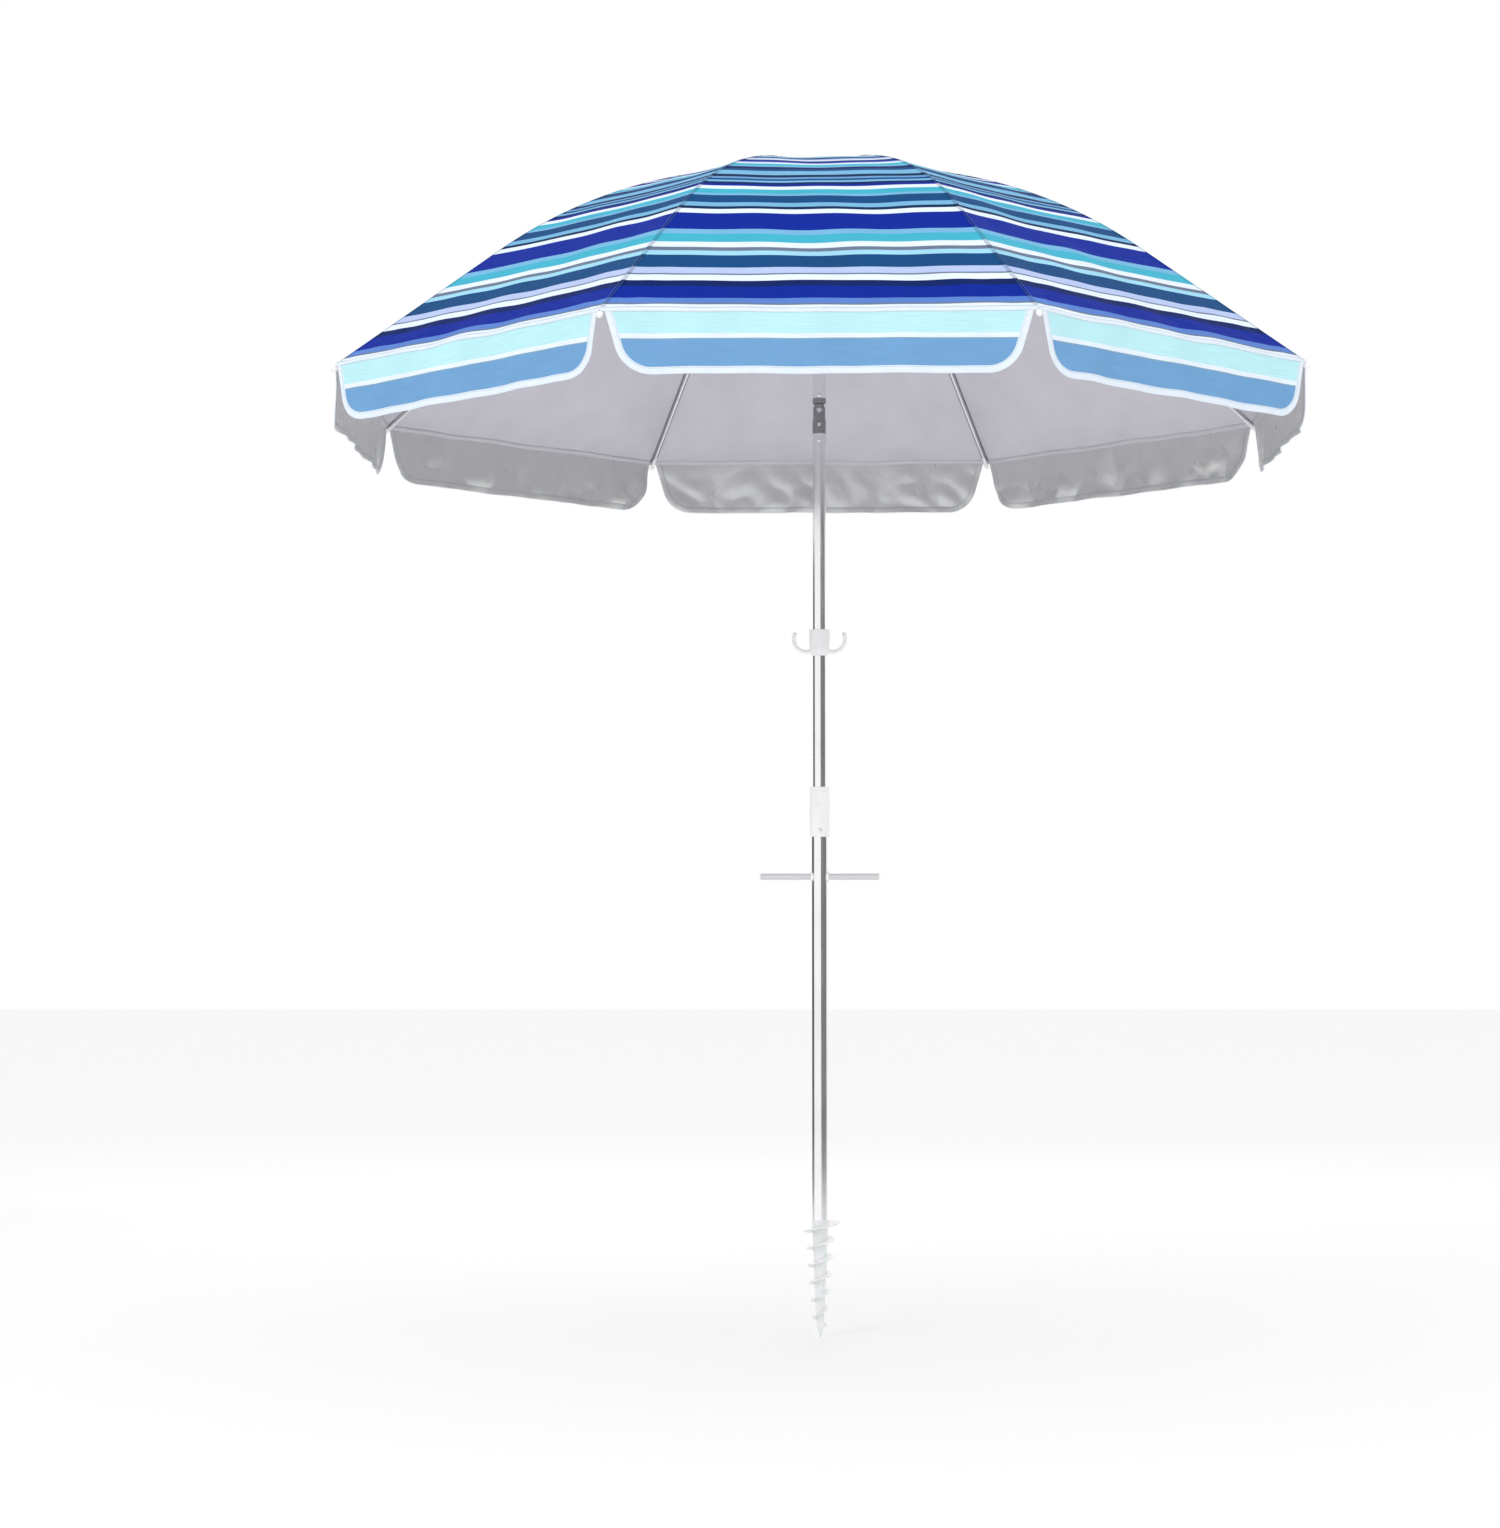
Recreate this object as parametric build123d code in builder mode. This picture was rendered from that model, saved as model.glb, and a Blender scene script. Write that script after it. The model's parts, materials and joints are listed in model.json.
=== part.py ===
from build123d import *
import os
from math import atan, atan2, cos, pi, radians, sin, tan

# Beach umbrella with a sand screw, telescopic pole, tilt joint and eight ribs.
# Millimetres, +Z up, origin on the pole axis at the sand: the bottom end of the lower tube.
os.makedirs("parts", exist_ok=True)

# ---- driving dimensions ------------------------------------------------------
RIBS = 8
STEP = 360 / RIBS  # degrees between ribs
HALF = STEP / 2  # degrees from a rib to the middle of a panel
GAP = 0.05  # fixed fit between a spigot and its tube
RUN = 0.10  # running fit of sliding and turning parts
POLE_FLAT = 0.3  # small flat where a turned dome meets its axis

# canopy outline in a rib's own vertical plane: straight, arc, straight
RIM_R, RIM_Z = 930, 1534
CREST_SLOPE, EAVE_SLOPE = 10, 37  # degrees below horizontal, near the crown and near the rim
CROWN_Z = RIM_Z + 447
CREST_ARC_R = 980
PANEL_ARC_R = 0.89 * CREST_ARC_R  # the same outline in the steeper plane of a panel's middle
CLOTH_T = 1.0
VALANCE_DEPTH, VALANCE_TOP, VALANCE_FOOT, VALANCE_CORNER = 105, 348, 318, 60
CLOTH_HOLE_R = 9
PATCH_R = 54

# pole
LOW_R, MAST_R, WALL = 15, 12.5, 1
LOW_TOP, MAST_FOOT = 790, 655
FERRULE_R, FERRULE_Z0, FERRULE_Z1 = 18.5, 708, 801
BUTTON_Z, RIVET_Z, ANCHOR_RIVET_Z = 768, 720, 22
BUTTON_HOLE_R, RIVET_HOLE_R = 4, 2.4
MAST_TRAVEL = 90
BAR_Z, BAR_R, BAR_HALF = 634, 6, 110
WAIST_HALF, WAIST_DEPTH = 35, 0.3  # the bar is relieved where it runs in its grommets
COLLAR_R, COLLAR_Z0, COLLAR_Z1, HOOK_REACH = 18.5, 1046, 1095, 50

# sand screw
SCREW_LENGTH, SCREW_PITCH = 216, 32
FLIGHT_TOP_R, FLIGHT_MID_R, FLIGHT_FOOT_R = 36.5, 26.5, 14

# tilt joint
TILT_Z0, TILT_PIN_Z, TILT_Z1 = 1463, 1507, 1530
MAST_RIVET_Z, TOP_RIVET_Z = TILT_Z0 - 12, TILT_Z1 + 6
TONGUE_HALF, PIN_R = 5.4, 3
TILT_BUTTON_Z = 1480

# rib linkage: rib and stretcher pivots sit on a ring of this radius
RING_R = 20
RIB_DROP = 7  # rib centre line below the cloth
ROD_R, BLADE_T, SLOT_W = 2.5, 2.6, 3.2
EYE_R, WIRE_R = 3.2, 1.0
ARM = 204  # hub pivot to stretcher pivot, and stretcher pivot to runner pivot
LUG_DROP, LUG_R, LUG_PIN_R = 8, 3.6, 1.5
NOTCH_R, NOTCH_Z0, NOTCH_Z1 = 24, CROWN_Z - 20, CROWN_Z - 6.2
RUNNER_SLEEVE_R, RUNNER_RING_R, RUNNER_GRIP_R = 15.8, 26, 21
RUNNER_UP, RUNNER_DOWN, GRIP_T = 7, 55, 7

# ---- worked-out positions ----------------------------------------------------
crest, eave = tan(radians(CREST_SLOPE)), tan(radians(EAVE_SLOPE))
CORNER_R = (CROWN_Z - RIM_Z - eave * RIM_R) / (crest - eave)
CORNER_Z = CROWN_Z - crest * CORNER_R
HUB_Z = CROWN_Z - crest * RING_R - RIB_DROP
ARM_ANGLE = CREST_SLOPE + 180 / pi * atan(LUG_DROP / ARM)
JOINT_R = RING_R + ARM * cos(radians(ARM_ANGLE))
JOINT_Z = HUB_Z - ARM * sin(radians(ARM_ANGLE))
RUNNER_Z = HUB_Z - 2 * ARM * sin(radians(ARM_ANGLE))
RUNNER_FOOT = RUNNER_Z - RUNNER_DOWN
squeeze = cos(radians(HALF))  # a panel's middle is this much nearer the pole than its ribs
APOTHEM = RIM_R * squeeze


def save(piece, name):
    """Labels a finished piece and writes it."""
    piece.label = name
    export_step(piece, f"parts/{name}.step")


def save_ring(piece, stem):
    """Writes one copy of a piece for each rib; rib 1 stands half a step from +X."""
    for k in range(RIBS):
        save(piece.rotate(Axis.Z, HALF + k * STEP), f"{stem}_{k + 1}")


def tube(outer, inner, z0, z1):
    """A plain round tube between two heights."""
    with BuildPart() as body:
        with BuildSketch(Plane.XY.offset(z0)):
            Circle(outer)
            Circle(inner, mode=Mode.SUBTRACT)
        extrude(amount=z1 - z0)
    return body.part


def rivet(head_y, foot_y, z, shank_r=2.3, head_r=4, head_t=1.4):
    """A domed rivet along Y: its head starts at head_y and its shank runs to foot_y."""
    out = 1 if head_y > foot_y else -1
    with BuildPart() as body:
        with BuildSketch(Plane.XY):
            with BuildLine():
                Polyline((0, foot_y), (shank_r, foot_y), (shank_r, head_y), (head_r, head_y))
                ThreePointArc(
                    (head_r, head_y),
                    (head_r * 0.62, head_y + out * head_t * 0.8),
                    (POLE_FLAT, head_y + out * head_t),
                )
                Polyline((POLE_FLAT, head_y + out * head_t), (0, head_y + out * head_t), (0, foot_y))
            make_face()
        revolve(axis=Axis.Y)
    return body.part.moved(Location((0, 0, z)))


# ---- sand screw --------------------------------------------------------------
def screw_flight(foot_z, turns, foot_r, head_r, reach):
    """A blade winding up from foot_z; its outer edge widens from foot_r to head_r."""
    height = turns * SCREW_PITCH
    widening = 180 / pi * atan((head_r - foot_r) / height)
    edge = 8  # blade outside the helix that it is drawn along
    line = Helix(SCREW_PITCH, height, foot_r - edge, cone_angle=widening, center=(0, 0, foot_z))
    with BuildPart() as blade:
        with BuildSketch(Plane(line @ 0, x_dir=(1, 0, 0), z_dir=line % 0)):
            Polygon((-reach, -2.4), (edge, -1.1), (edge, 1.1), (-reach, 2.4), align=None)
        sweep(path=line, is_frenet=True)
    head = line @ 1
    return blade.part, 180 / pi * atan2(head.Y, head.X)


long_flight, long_turn = screw_flight(-195, 5, FLIGHT_FOOT_R, FLIGHT_MID_R, 5.5)
wide_flight, _ = screw_flight(-35.6, 1, FLIGHT_MID_R + 0.5, FLIGHT_TOP_R, 15)
with BuildPart() as sand_anchor:
    with BuildSketch(Plane.XZ):
        with BuildLine():
            Polyline(
                (0, 45), (LOW_R - WALL - GAP, 45), (LOW_R - WALL - GAP, 0), (LOW_R, 0), (LOW_R, -3),
                (7, -197), (1.2, -SCREW_LENGTH), (0, -SCREW_LENGTH), close=True,
            )
        make_face()
    revolve(axis=Axis.Z)
    add(long_flight)
    add(wide_flight.rotate(Axis.Z, long_turn + 1.5))
    with BuildSketch(Plane.XY.offset(-20)):
        Circle(6.5)
    extrude(amount=65, mode=Mode.SUBTRACT)
    with Locations((0, LOW_R, ANCHOR_RIVET_Z)):
        Cylinder(RIVET_HOLE_R, 2 * LOW_R - 4, rotation=(90, 0, 0), mode=Mode.SUBTRACT)
save(sand_anchor.part, "sand_anchor")

# ---- lower pole --------------------------------------------------------------
BAR_HOLE_R = 7
with BuildPart() as lower_tube:
    add(tube(LOW_R, LOW_R - WALL, 0, LOW_TOP))
    with Locations((0, 0, BAR_Z)):
        Cylinder(BAR_HOLE_R, 4 * LOW_R, rotation=(0, 90, 0), mode=Mode.SUBTRACT)
    for y, z, r in (
        (-LOW_R, BUTTON_Z, BUTTON_HOLE_R), (-LOW_R, RIVET_Z, RIVET_HOLE_R),
        (LOW_R, ANCHOR_RIVET_Z, RIVET_HOLE_R),
    ):
        with Locations((0, y, z)):
            Cylinder(r, LOW_R, rotation=(90, 0, 0), mode=Mode.SUBTRACT)
save(lower_tube.part, "lower_tube")

with BuildPart() as height_ferrule:
    with BuildSketch(Plane.XZ):
        with BuildLine():
            Polyline(
                (LOW_R + GAP, FERRULE_Z0), (FERRULE_R, FERRULE_Z0), (FERRULE_R, FERRULE_Z1),
                (MAST_R + RUN, FERRULE_Z1), (MAST_R + RUN, LOW_TOP), (LOW_R + GAP, LOW_TOP), close=True,
            )
        make_face()
        outer = vertices().group_by(Axis.X)[-1]
        fillet(outer, 2)
        with Locations((FERRULE_R, FERRULE_Z1 - 9), (FERRULE_R, FERRULE_Z0 + 25)):
            Circle(0.8, mode=Mode.SUBTRACT)
    revolve(axis=Axis.Z)
    for z, r in ((BUTTON_Z, BUTTON_HOLE_R), (RIVET_Z, RIVET_HOLE_R)):
        with Locations((0, -FERRULE_R, z)):
            Cylinder(r, 12, rotation=(90, 0, 0), mode=Mode.SUBTRACT)
save(height_ferrule.part, "height_ferrule")

# the leaf spring lies in the gap between the two tubes, held by the ferrule's rivet
LEAF_Y0, LEAF_Y1 = -13.35, -12.85
KEYWAY_Y = -12.6  # depth of the notch in the mast's foot bush, which clears the leaf and its rivet
with BuildPart() as height_spring:
    with BuildSketch(Plane.XZ.offset(-LEAF_Y1)):
        with Locations((0, (RIVET_Z + BUTTON_Z) / 2)):
            SlotOverall(BUTTON_Z - RIVET_Z + 14, 7.4, rotation=90)
        with Locations((0, RIVET_Z)):
            Circle(RIVET_HOLE_R, mode=Mode.SUBTRACT)
    extrude(amount=LEAF_Y1 - LEAF_Y0)
save(height_spring.part, "height_spring")

save(
    Compound(children=[
        rivet(-FERRULE_R, LEAF_Y1 + 0.05, RIVET_Z),
        rivet(LOW_R, LOW_R - 6, ANCHOR_RIVET_Z),
    ]),
    "lower_pole_rivets",
)

with BuildPart() as height_button:
    with BuildSketch(Plane.XY):
        with BuildLine():
            button_top = -FERRULE_R - 2.8
            Polyline((0, LEAF_Y0), (3.9, LEAF_Y0), (3.9, button_top + 1.2))
            ThreePointArc((3.9, button_top + 1.2), (2.4, button_top + 0.3), (POLE_FLAT, button_top))
            Polyline((POLE_FLAT, button_top), (0, button_top), (0, LEAF_Y0))
        make_face()
    revolve(axis=Axis.Y)
save(height_button.part.moved(Location((0, 0, BUTTON_Z))), "height_button")

with BuildPart() as grommet:
    with BuildSketch(Plane.YZ.offset(LOW_R - 5)):
        Circle(9.2)
    extrude(amount=7)
    with BuildSketch(Plane.XY.offset(-20)):
        Circle(LOW_R + GAP)
    extrude(amount=40, mode=Mode.SUBTRACT)
    with BuildSketch(Plane.YZ.offset(LOW_R - 2.5)):
        Circle(BAR_HOLE_R - GAP)
    extrude(amount=4.5)
    with BuildSketch(Plane.YZ.offset(0)):
        Circle(BAR_R + RUN)
    extrude(amount=30, mode=Mode.SUBTRACT)
right = grommet.part.moved(Location((0, 0, BAR_Z)))
save(Compound(children=[right, right.rotate(Axis.Z, 180)]), "handle_grommets")

# ---- handle bar --------------------------------------------------------------
with BuildPart() as handle_bar:
    with BuildSketch(Plane.YZ.offset(-BAR_HALF)):
        with Locations((0, BAR_Z)):
            Circle(BAR_R)
            Circle(BAR_R - WALL, mode=Mode.SUBTRACT)
    extrude(amount=2 * BAR_HALF)
    with BuildSketch(Plane.YZ.offset(-WAIST_HALF)):
        with Locations((0, BAR_Z)):
            Circle(BAR_R + 1)
            Circle(BAR_R - WAIST_DEPTH, mode=Mode.SUBTRACT)
    extrude(amount=2 * WAIST_HALF, mode=Mode.SUBTRACT)
save(handle_bar.part, "handle_bar")

with BuildPart() as end_cap:
    with BuildSketch(Plane.XY):
        with BuildLine():
            Polyline(
                (BAR_HALF - 9, 0), (BAR_HALF - 9, BAR_R - WALL - GAP), (BAR_HALF, BAR_R - WALL - GAP),
                (BAR_HALF, BAR_R - 0.2),
            )
            ThreePointArc(
                (BAR_HALF, BAR_R - 0.2), (BAR_HALF + 1.4, (BAR_R - 0.2) * 0.66), (BAR_HALF + 2, POLE_FLAT)
            )
            Polyline((BAR_HALF + 2, POLE_FLAT), (BAR_HALF + 2, 0), (BAR_HALF - 9, 0))
        make_face()
    revolve(axis=Axis.X)
cap = end_cap.part.moved(Location((0, 0, BAR_Z)))
save(Compound(children=[cap, cap.rotate(Axis.Z, 180)]), "handle_end_caps")

# ---- mast --------------------------------------------------------------------
MAST_IN = MAST_R - WALL
SPIGOT = 24  # how far a knuckle's spigot reaches into its tube
with BuildPart() as mast_tube:
    add(tube(MAST_R, MAST_IN, MAST_FOOT, TILT_Z0))
    slot_mid = BUTTON_Z - MAST_TRAVEL / 2
    with Locations((0, -MAST_R, slot_mid)):
        Box(8.4, 8, MAST_TRAVEL + 12, mode=Mode.SUBTRACT)
    with Locations((0, -MAST_R, MAST_RIVET_Z)):
        Cylinder(RIVET_HOLE_R, 8, rotation=(90, 0, 0), mode=Mode.SUBTRACT)
save(mast_tube.part, "mast_tube")

with BuildPart() as mast_foot_bush:
    with BuildSketch(Plane.XZ):
        with BuildLine():
            Polyline(
                (7, MAST_FOOT + 14), (MAST_IN - GAP, MAST_FOOT + 14), (MAST_IN - GAP, MAST_FOOT),
                (LOW_R - WALL - RUN, MAST_FOOT), (LOW_R - WALL - RUN, MAST_FOOT - 8), (7, MAST_FOOT - 8),
                close=True,
            )
        make_face()
    revolve(axis=Axis.Z)
    with Locations((0, -LOW_R, MAST_FOOT - 4)):
        Box(9, 2 * (LOW_R + KEYWAY_Y), 10, mode=Mode.SUBTRACT)
save(mast_foot_bush.part, "mast_foot_bush")

with BuildPart() as hook_collar:
    with BuildSketch(Plane.XZ):
        with BuildLine():
            Polyline(
                (MAST_R + RUN, COLLAR_Z0), (COLLAR_R - 2.5, COLLAR_Z0), (COLLAR_R, COLLAR_Z0 + 10),
                (COLLAR_R + 1, COLLAR_Z1), (MAST_R + RUN, COLLAR_Z1), close=True,
            )
        make_face()
        rounded = vertices().filter_by(lambda v: v.X > MAST_R + 1)
        fillet(rounded, 1.8)
    revolve(axis=Axis.Z)
    with BuildLine(Plane.XZ) as hook_line:
        ThreePointArc((16, COLLAR_Z0 + 9), (41, COLLAR_Z0 + 14), (HOOK_REACH - 4, COLLAR_Z0 + 40))
    with BuildSketch(Plane(hook_line.line @ 0, x_dir=(0, 1, 0), z_dir=hook_line.line % 0)):
        Ellipse(5, 3.8)
    sweep(path=hook_line.line)
    with Locations(hook_line.line @ 1):
        Sphere(4.2)
    mirror(about=Plane.YZ)
    with BuildSketch(Plane.XY.offset(COLLAR_Z0 - 5)):
        Circle(MAST_R + RUN)
    extrude(amount=COLLAR_Z1 - COLLAR_Z0 + 10, mode=Mode.SUBTRACT)
save(hook_collar.part, "hook_collar")

# ---- tilt joint --------------------------------------------------------------
CHEEK_R = 12  # cheeks are rounded about the pin
HEAD_R, HEAD_Y = 4.6, 9.5
with BuildPart() as tilt_lower_knuckle:
    with BuildSketch(Plane.XY.offset(TILT_Z0 - SPIGOT)):
        Circle(MAST_IN - GAP)
    extrude(amount=SPIGOT)
    with BuildSketch(Plane.XY.offset(TILT_Z0)):
        Circle(MAST_R)
    extrude(amount=TILT_Z1 - TILT_Z0)
    with BuildSketch(Plane.XZ):
        with Locations((0, TILT_PIN_Z)):
            Circle(CHEEK_R)
            Rectangle(2 * MAST_R + 2, 100, align=(Align.CENTER, Align.MAX))
    extrude(amount=20, both=True, mode=Mode.INTERSECT)
    with Locations((0, 0, TILT_PIN_Z)):
        Box(60, 2 * (TONGUE_HALF + RUN), 34, mode=Mode.SUBTRACT)
        Cylinder(PIN_R, 40, rotation=(90, 0, 0), mode=Mode.SUBTRACT)
    for side in (-1, 1):
        with Locations((0, side * (HEAD_Y + 5), TILT_PIN_Z)):
            Cylinder(HEAD_R + 0.3, 10, rotation=(90, 0, 0), mode=Mode.SUBTRACT)
    with Locations((0, -MAST_R, TILT_BUTTON_Z)):
        Cylinder(3.6, 17, rotation=(90, 0, 0), mode=Mode.SUBTRACT)
    with Locations((0, -MAST_R, MAST_RIVET_Z)):
        Cylinder(RIVET_HOLE_R, 14, rotation=(90, 0, 0), mode=Mode.SUBTRACT)
save(tilt_lower_knuckle.part, "tilt_lower_knuckle")

with BuildPart() as tilt_button:
    with Locations((0, -10, TILT_BUTTON_Z)):
        Cylinder(3.5, 8, rotation=(90, 0, 0))
    crown_edge = tilt_button.edges().group_by(Axis.Y)[0]
    fillet(crown_edge, 1)
save(tilt_button.part, "tilt_button")

with BuildPart() as tilt_button_spring:
    with Locations((0, -5, TILT_BUTTON_Z)):
        Cylinder(2.8, 1.96, rotation=(90, 0, 0))
        Cylinder(1.8, 4, rotation=(90, 0, 0), mode=Mode.SUBTRACT)
save(tilt_button_spring.part, "tilt_button_spring")

with BuildPart() as tilt_pin:
    with Locations((0, 0, TILT_PIN_Z)):
        Cylinder(PIN_R - RUN, 2 * HEAD_Y + 1, rotation=(90, 0, 0))
    for side in (-1, 1):
        with Locations((0, side * (HEAD_Y + 0.9), TILT_PIN_Z)):
            Cylinder(HEAD_R, 1.7, rotation=(90, 0, 0))
save(tilt_pin.part, "tilt_pin")

with BuildPart() as tilt_upper_knuckle:
    with BuildSketch(Plane.XY.offset(TILT_PIN_Z + CHEEK_R + 1)):
        Circle(MAST_R)
    extrude(amount=TILT_Z1 - TILT_PIN_Z - CHEEK_R - 1)
    with BuildSketch(Plane.XY.offset(TILT_Z1)):
        Circle(MAST_IN - GAP)
    extrude(amount=SPIGOT)
    with BuildSketch(Plane.XZ):
        with Locations((0, TILT_PIN_Z)):
            Circle(10)
        with Locations((0, TILT_PIN_Z + 8)):
            Rectangle(18, 16)
    extrude(amount=TONGUE_HALF, both=True)
    with Locations((0, 0, TILT_PIN_Z)):
        Cylinder(PIN_R, 40, rotation=(90, 0, 0), mode=Mode.SUBTRACT)
    with Locations((0, -MAST_R, TOP_RIVET_Z)):
        Cylinder(RIVET_HOLE_R, 14, rotation=(90, 0, 0), mode=Mode.SUBTRACT)
save(tilt_upper_knuckle.part, "tilt_upper_knuckle")

save(rivet(-MAST_R, -MAST_R + 5, MAST_RIVET_Z), "mast_rivet")
save(rivet(-MAST_R, -MAST_R + 5, TOP_RIVET_Z), "top_tube_rivet")

# ---- top tube and hub --------------------------------------------------------
CATCH_Z0, CATCH_Z1 = RUNNER_FOOT - 20, RUNNER_FOOT - 1.5
with BuildPart() as top_tube:
    add(tube(MAST_R, MAST_IN, TILT_Z1, NOTCH_Z0))
    with Locations((0, MAST_R, (CATCH_Z0 + CATCH_Z1) / 2)):
        Box(6.4, 6, CATCH_Z1 - CATCH_Z0 + 1.2, mode=Mode.SUBTRACT)
    with Locations((0, -MAST_R, TOP_RIVET_Z)):
        Cylinder(RIVET_HOLE_R, 8, rotation=(90, 0, 0), mode=Mode.SUBTRACT)
save(top_tube.part, "top_tube")

with BuildPart() as runner_catch:
    with BuildSketch(Plane.YZ.offset(-3)):
        with BuildLine():
            Polyline(
                (10, CATCH_Z0 + 0.5), (12.4, CATCH_Z0 + 0.5), (14.2, CATCH_Z1 - 3), (14.2, CATCH_Z1),
                (10, CATCH_Z1), close=True,
            )
        make_face()
    extrude(amount=6)
save(runner_catch.part, "runner_catch")

with BuildPart() as catch_spring:
    with BuildSketch(Plane.YZ.offset(-2.8)):
        with BuildLine():
            spring_line = Polyline(
                (9.6, CATCH_Z1 - 2), (9.6, CATCH_Z0), (2, CATCH_Z0 - 18), (-8.6, CATCH_Z0), (-8.6, CATCH_Z1)
            )
        trace(line_width=0.6)
    extrude(amount=5.6)
save(catch_spring.part, "catch_spring")

wire_points = [
    (RING_R / squeeze * cos(radians(k * STEP)), RING_R / squeeze * sin(radians(k * STEP)))
    for k in range(RIBS)
]


def wire_loop(radius):
    """The eight-sided wire that every rib turns on."""
    with BuildPart() as loop:
        with BuildLine(Plane.XY.offset(HUB_Z)) as path:
            Polyline(*wire_points, close=True)
        with BuildSketch(Plane(path.line @ 0.0625, z_dir=path.line % 0.0625)):
            Circle(radius)
        sweep(path=path.line, transition=Transition.RIGHT)
    return loop.part


with BuildPart() as top_notch:
    with BuildSketch(Plane.XZ):
        with BuildLine():
            Polyline(
                (5, NOTCH_Z0 - 26), (MAST_IN - GAP, NOTCH_Z0 - 26), (MAST_IN - GAP, NOTCH_Z0),
                (NOTCH_R - 2, NOTCH_Z0), (NOTCH_R, NOTCH_Z0 + 2), (NOTCH_R, NOTCH_Z1 - 1.5),
                (NOTCH_R - 1.5, NOTCH_Z1), (5, NOTCH_Z1), close=True,
            )
        make_face()
    revolve(axis=Axis.Z)
    with PolarLocations(RING_R + 9, RIBS, start_angle=HALF):
        with Locations((0, 0, HUB_Z)):
            Box(30, SLOT_W, 40, mode=Mode.SUBTRACT)
    add(wire_loop(WIRE_R + GAP), mode=Mode.SUBTRACT)
save(top_notch.part, "top_notch")
save(wire_loop(WIRE_R), "notch_wire")

# ---- runner ------------------------------------------------------------------
with BuildPart() as runner:
    with BuildSketch(Plane.XZ):
        with BuildLine():
            Polyline(
                (MAST_R + RUN, RUNNER_FOOT), (RUNNER_GRIP_R, RUNNER_FOOT),
                (RUNNER_GRIP_R, RUNNER_FOOT + GRIP_T), (RUNNER_SLEEVE_R, RUNNER_FOOT + GRIP_T),
                (RUNNER_SLEEVE_R, RUNNER_Z - RUNNER_UP), (RUNNER_RING_R, RUNNER_Z - RUNNER_UP),
                (RUNNER_RING_R, RUNNER_Z + RUNNER_UP), (MAST_R + RUN, RUNNER_Z + RUNNER_UP), close=True,
            )
        make_face()
        grip = vertices().filter_by(lambda v: v.X > RUNNER_SLEEVE_R + 1)
        fillet(grip, 1.5)
    revolve(axis=Axis.Z)
    with PolarLocations(RING_R + 11.2, RIBS, start_angle=HALF):
        with Locations((0, 0, RUNNER_Z)):
            Box(30, SLOT_W, 4 * RUNNER_UP, mode=Mode.SUBTRACT)
    with Locations((0, MAST_R, RUNNER_Z - 20)):
        Box(7, 2 * (14.5 - MAST_R), 120, mode=Mode.SUBTRACT)
save(runner.part, "runner")

# ---- ribs and stretchers, drawn on +X and copied round ------------------------
rib_line_z = CROWN_Z - RIB_DROP
ROD_START = 34
TIP_BACK = 8
rod_end = (RIM_R - TIP_BACK * cos(radians(EAVE_SLOPE)), RIM_Z - RIB_DROP + TIP_BACK * sin(radians(EAVE_SLOPE)))
with BuildPart() as rib:
    with BuildLine(Plane.XZ) as rib_path:
        FilletPolyline(
            (ROD_START, rib_line_z - crest * ROD_START), (CORNER_R, CORNER_Z - RIB_DROP), rod_end,
            radius=CREST_ARC_R,
        )
    with BuildSketch(Plane(rib_path.line @ 0, z_dir=rib_path.line % 0)):
        Circle(ROD_R)
    sweep(path=rib_path.line)
    with BuildSketch(Plane.XZ):
        with Locations((RING_R, HUB_Z)):
            Circle(EYE_R)
        with BuildLine():
            Polyline(
                (RING_R, HUB_Z - EYE_R + 0.4), (RING_R, HUB_Z + EYE_R - 0.4),
                (ROD_START + 14, HUB_Z + 2.2 - crest * 28), (ROD_START + 14, HUB_Z - 2.2 - crest * 28),
                close=True,
            )
        make_face()
        with Locations((JOINT_R, JOINT_Z)):
            Circle(LUG_R)
        with BuildLine():
            Polyline(
                (JOINT_R - LUG_R, JOINT_Z), (JOINT_R - 6, JOINT_Z + LUG_DROP + 1.5),
                (JOINT_R + 8, JOINT_Z + LUG_DROP - 1.5), (JOINT_R + LUG_R, JOINT_Z), close=True,
            )
        make_face()
        with Locations((RING_R, HUB_Z)):
            Circle(WIRE_R + RUN, mode=Mode.SUBTRACT)
        with Locations((JOINT_R, JOINT_Z)):
            Circle(LUG_PIN_R + RUN, mode=Mode.SUBTRACT)
    extrude(amount=BLADE_T / 2, both=True)
save_ring(rib.part, "rib")

tip_plane = Plane(
    (RIM_R, 0, RIM_Z - RIB_DROP), x_dir=(0, 1, 0),
    z_dir=(cos(radians(EAVE_SLOPE)), 0, -sin(radians(EAVE_SLOPE))),
)
with BuildPart() as rib_tip:
    with BuildSketch(Plane.XZ):
        with BuildLine():
            Polyline(
                (ROD_R + GAP, -26), (3.6, -26), (4.2, -3), (5, -1.5), (5, 3.5), (4, 6), (0, 6.8),
                (0, -TIP_BACK + GAP), (ROD_R + GAP, -TIP_BACK + GAP), close=True,
            )
        make_face()
    revolve(axis=Axis.Z)
save_ring(tip_plane.location * rib_tip.part, "rib_tip")

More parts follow.
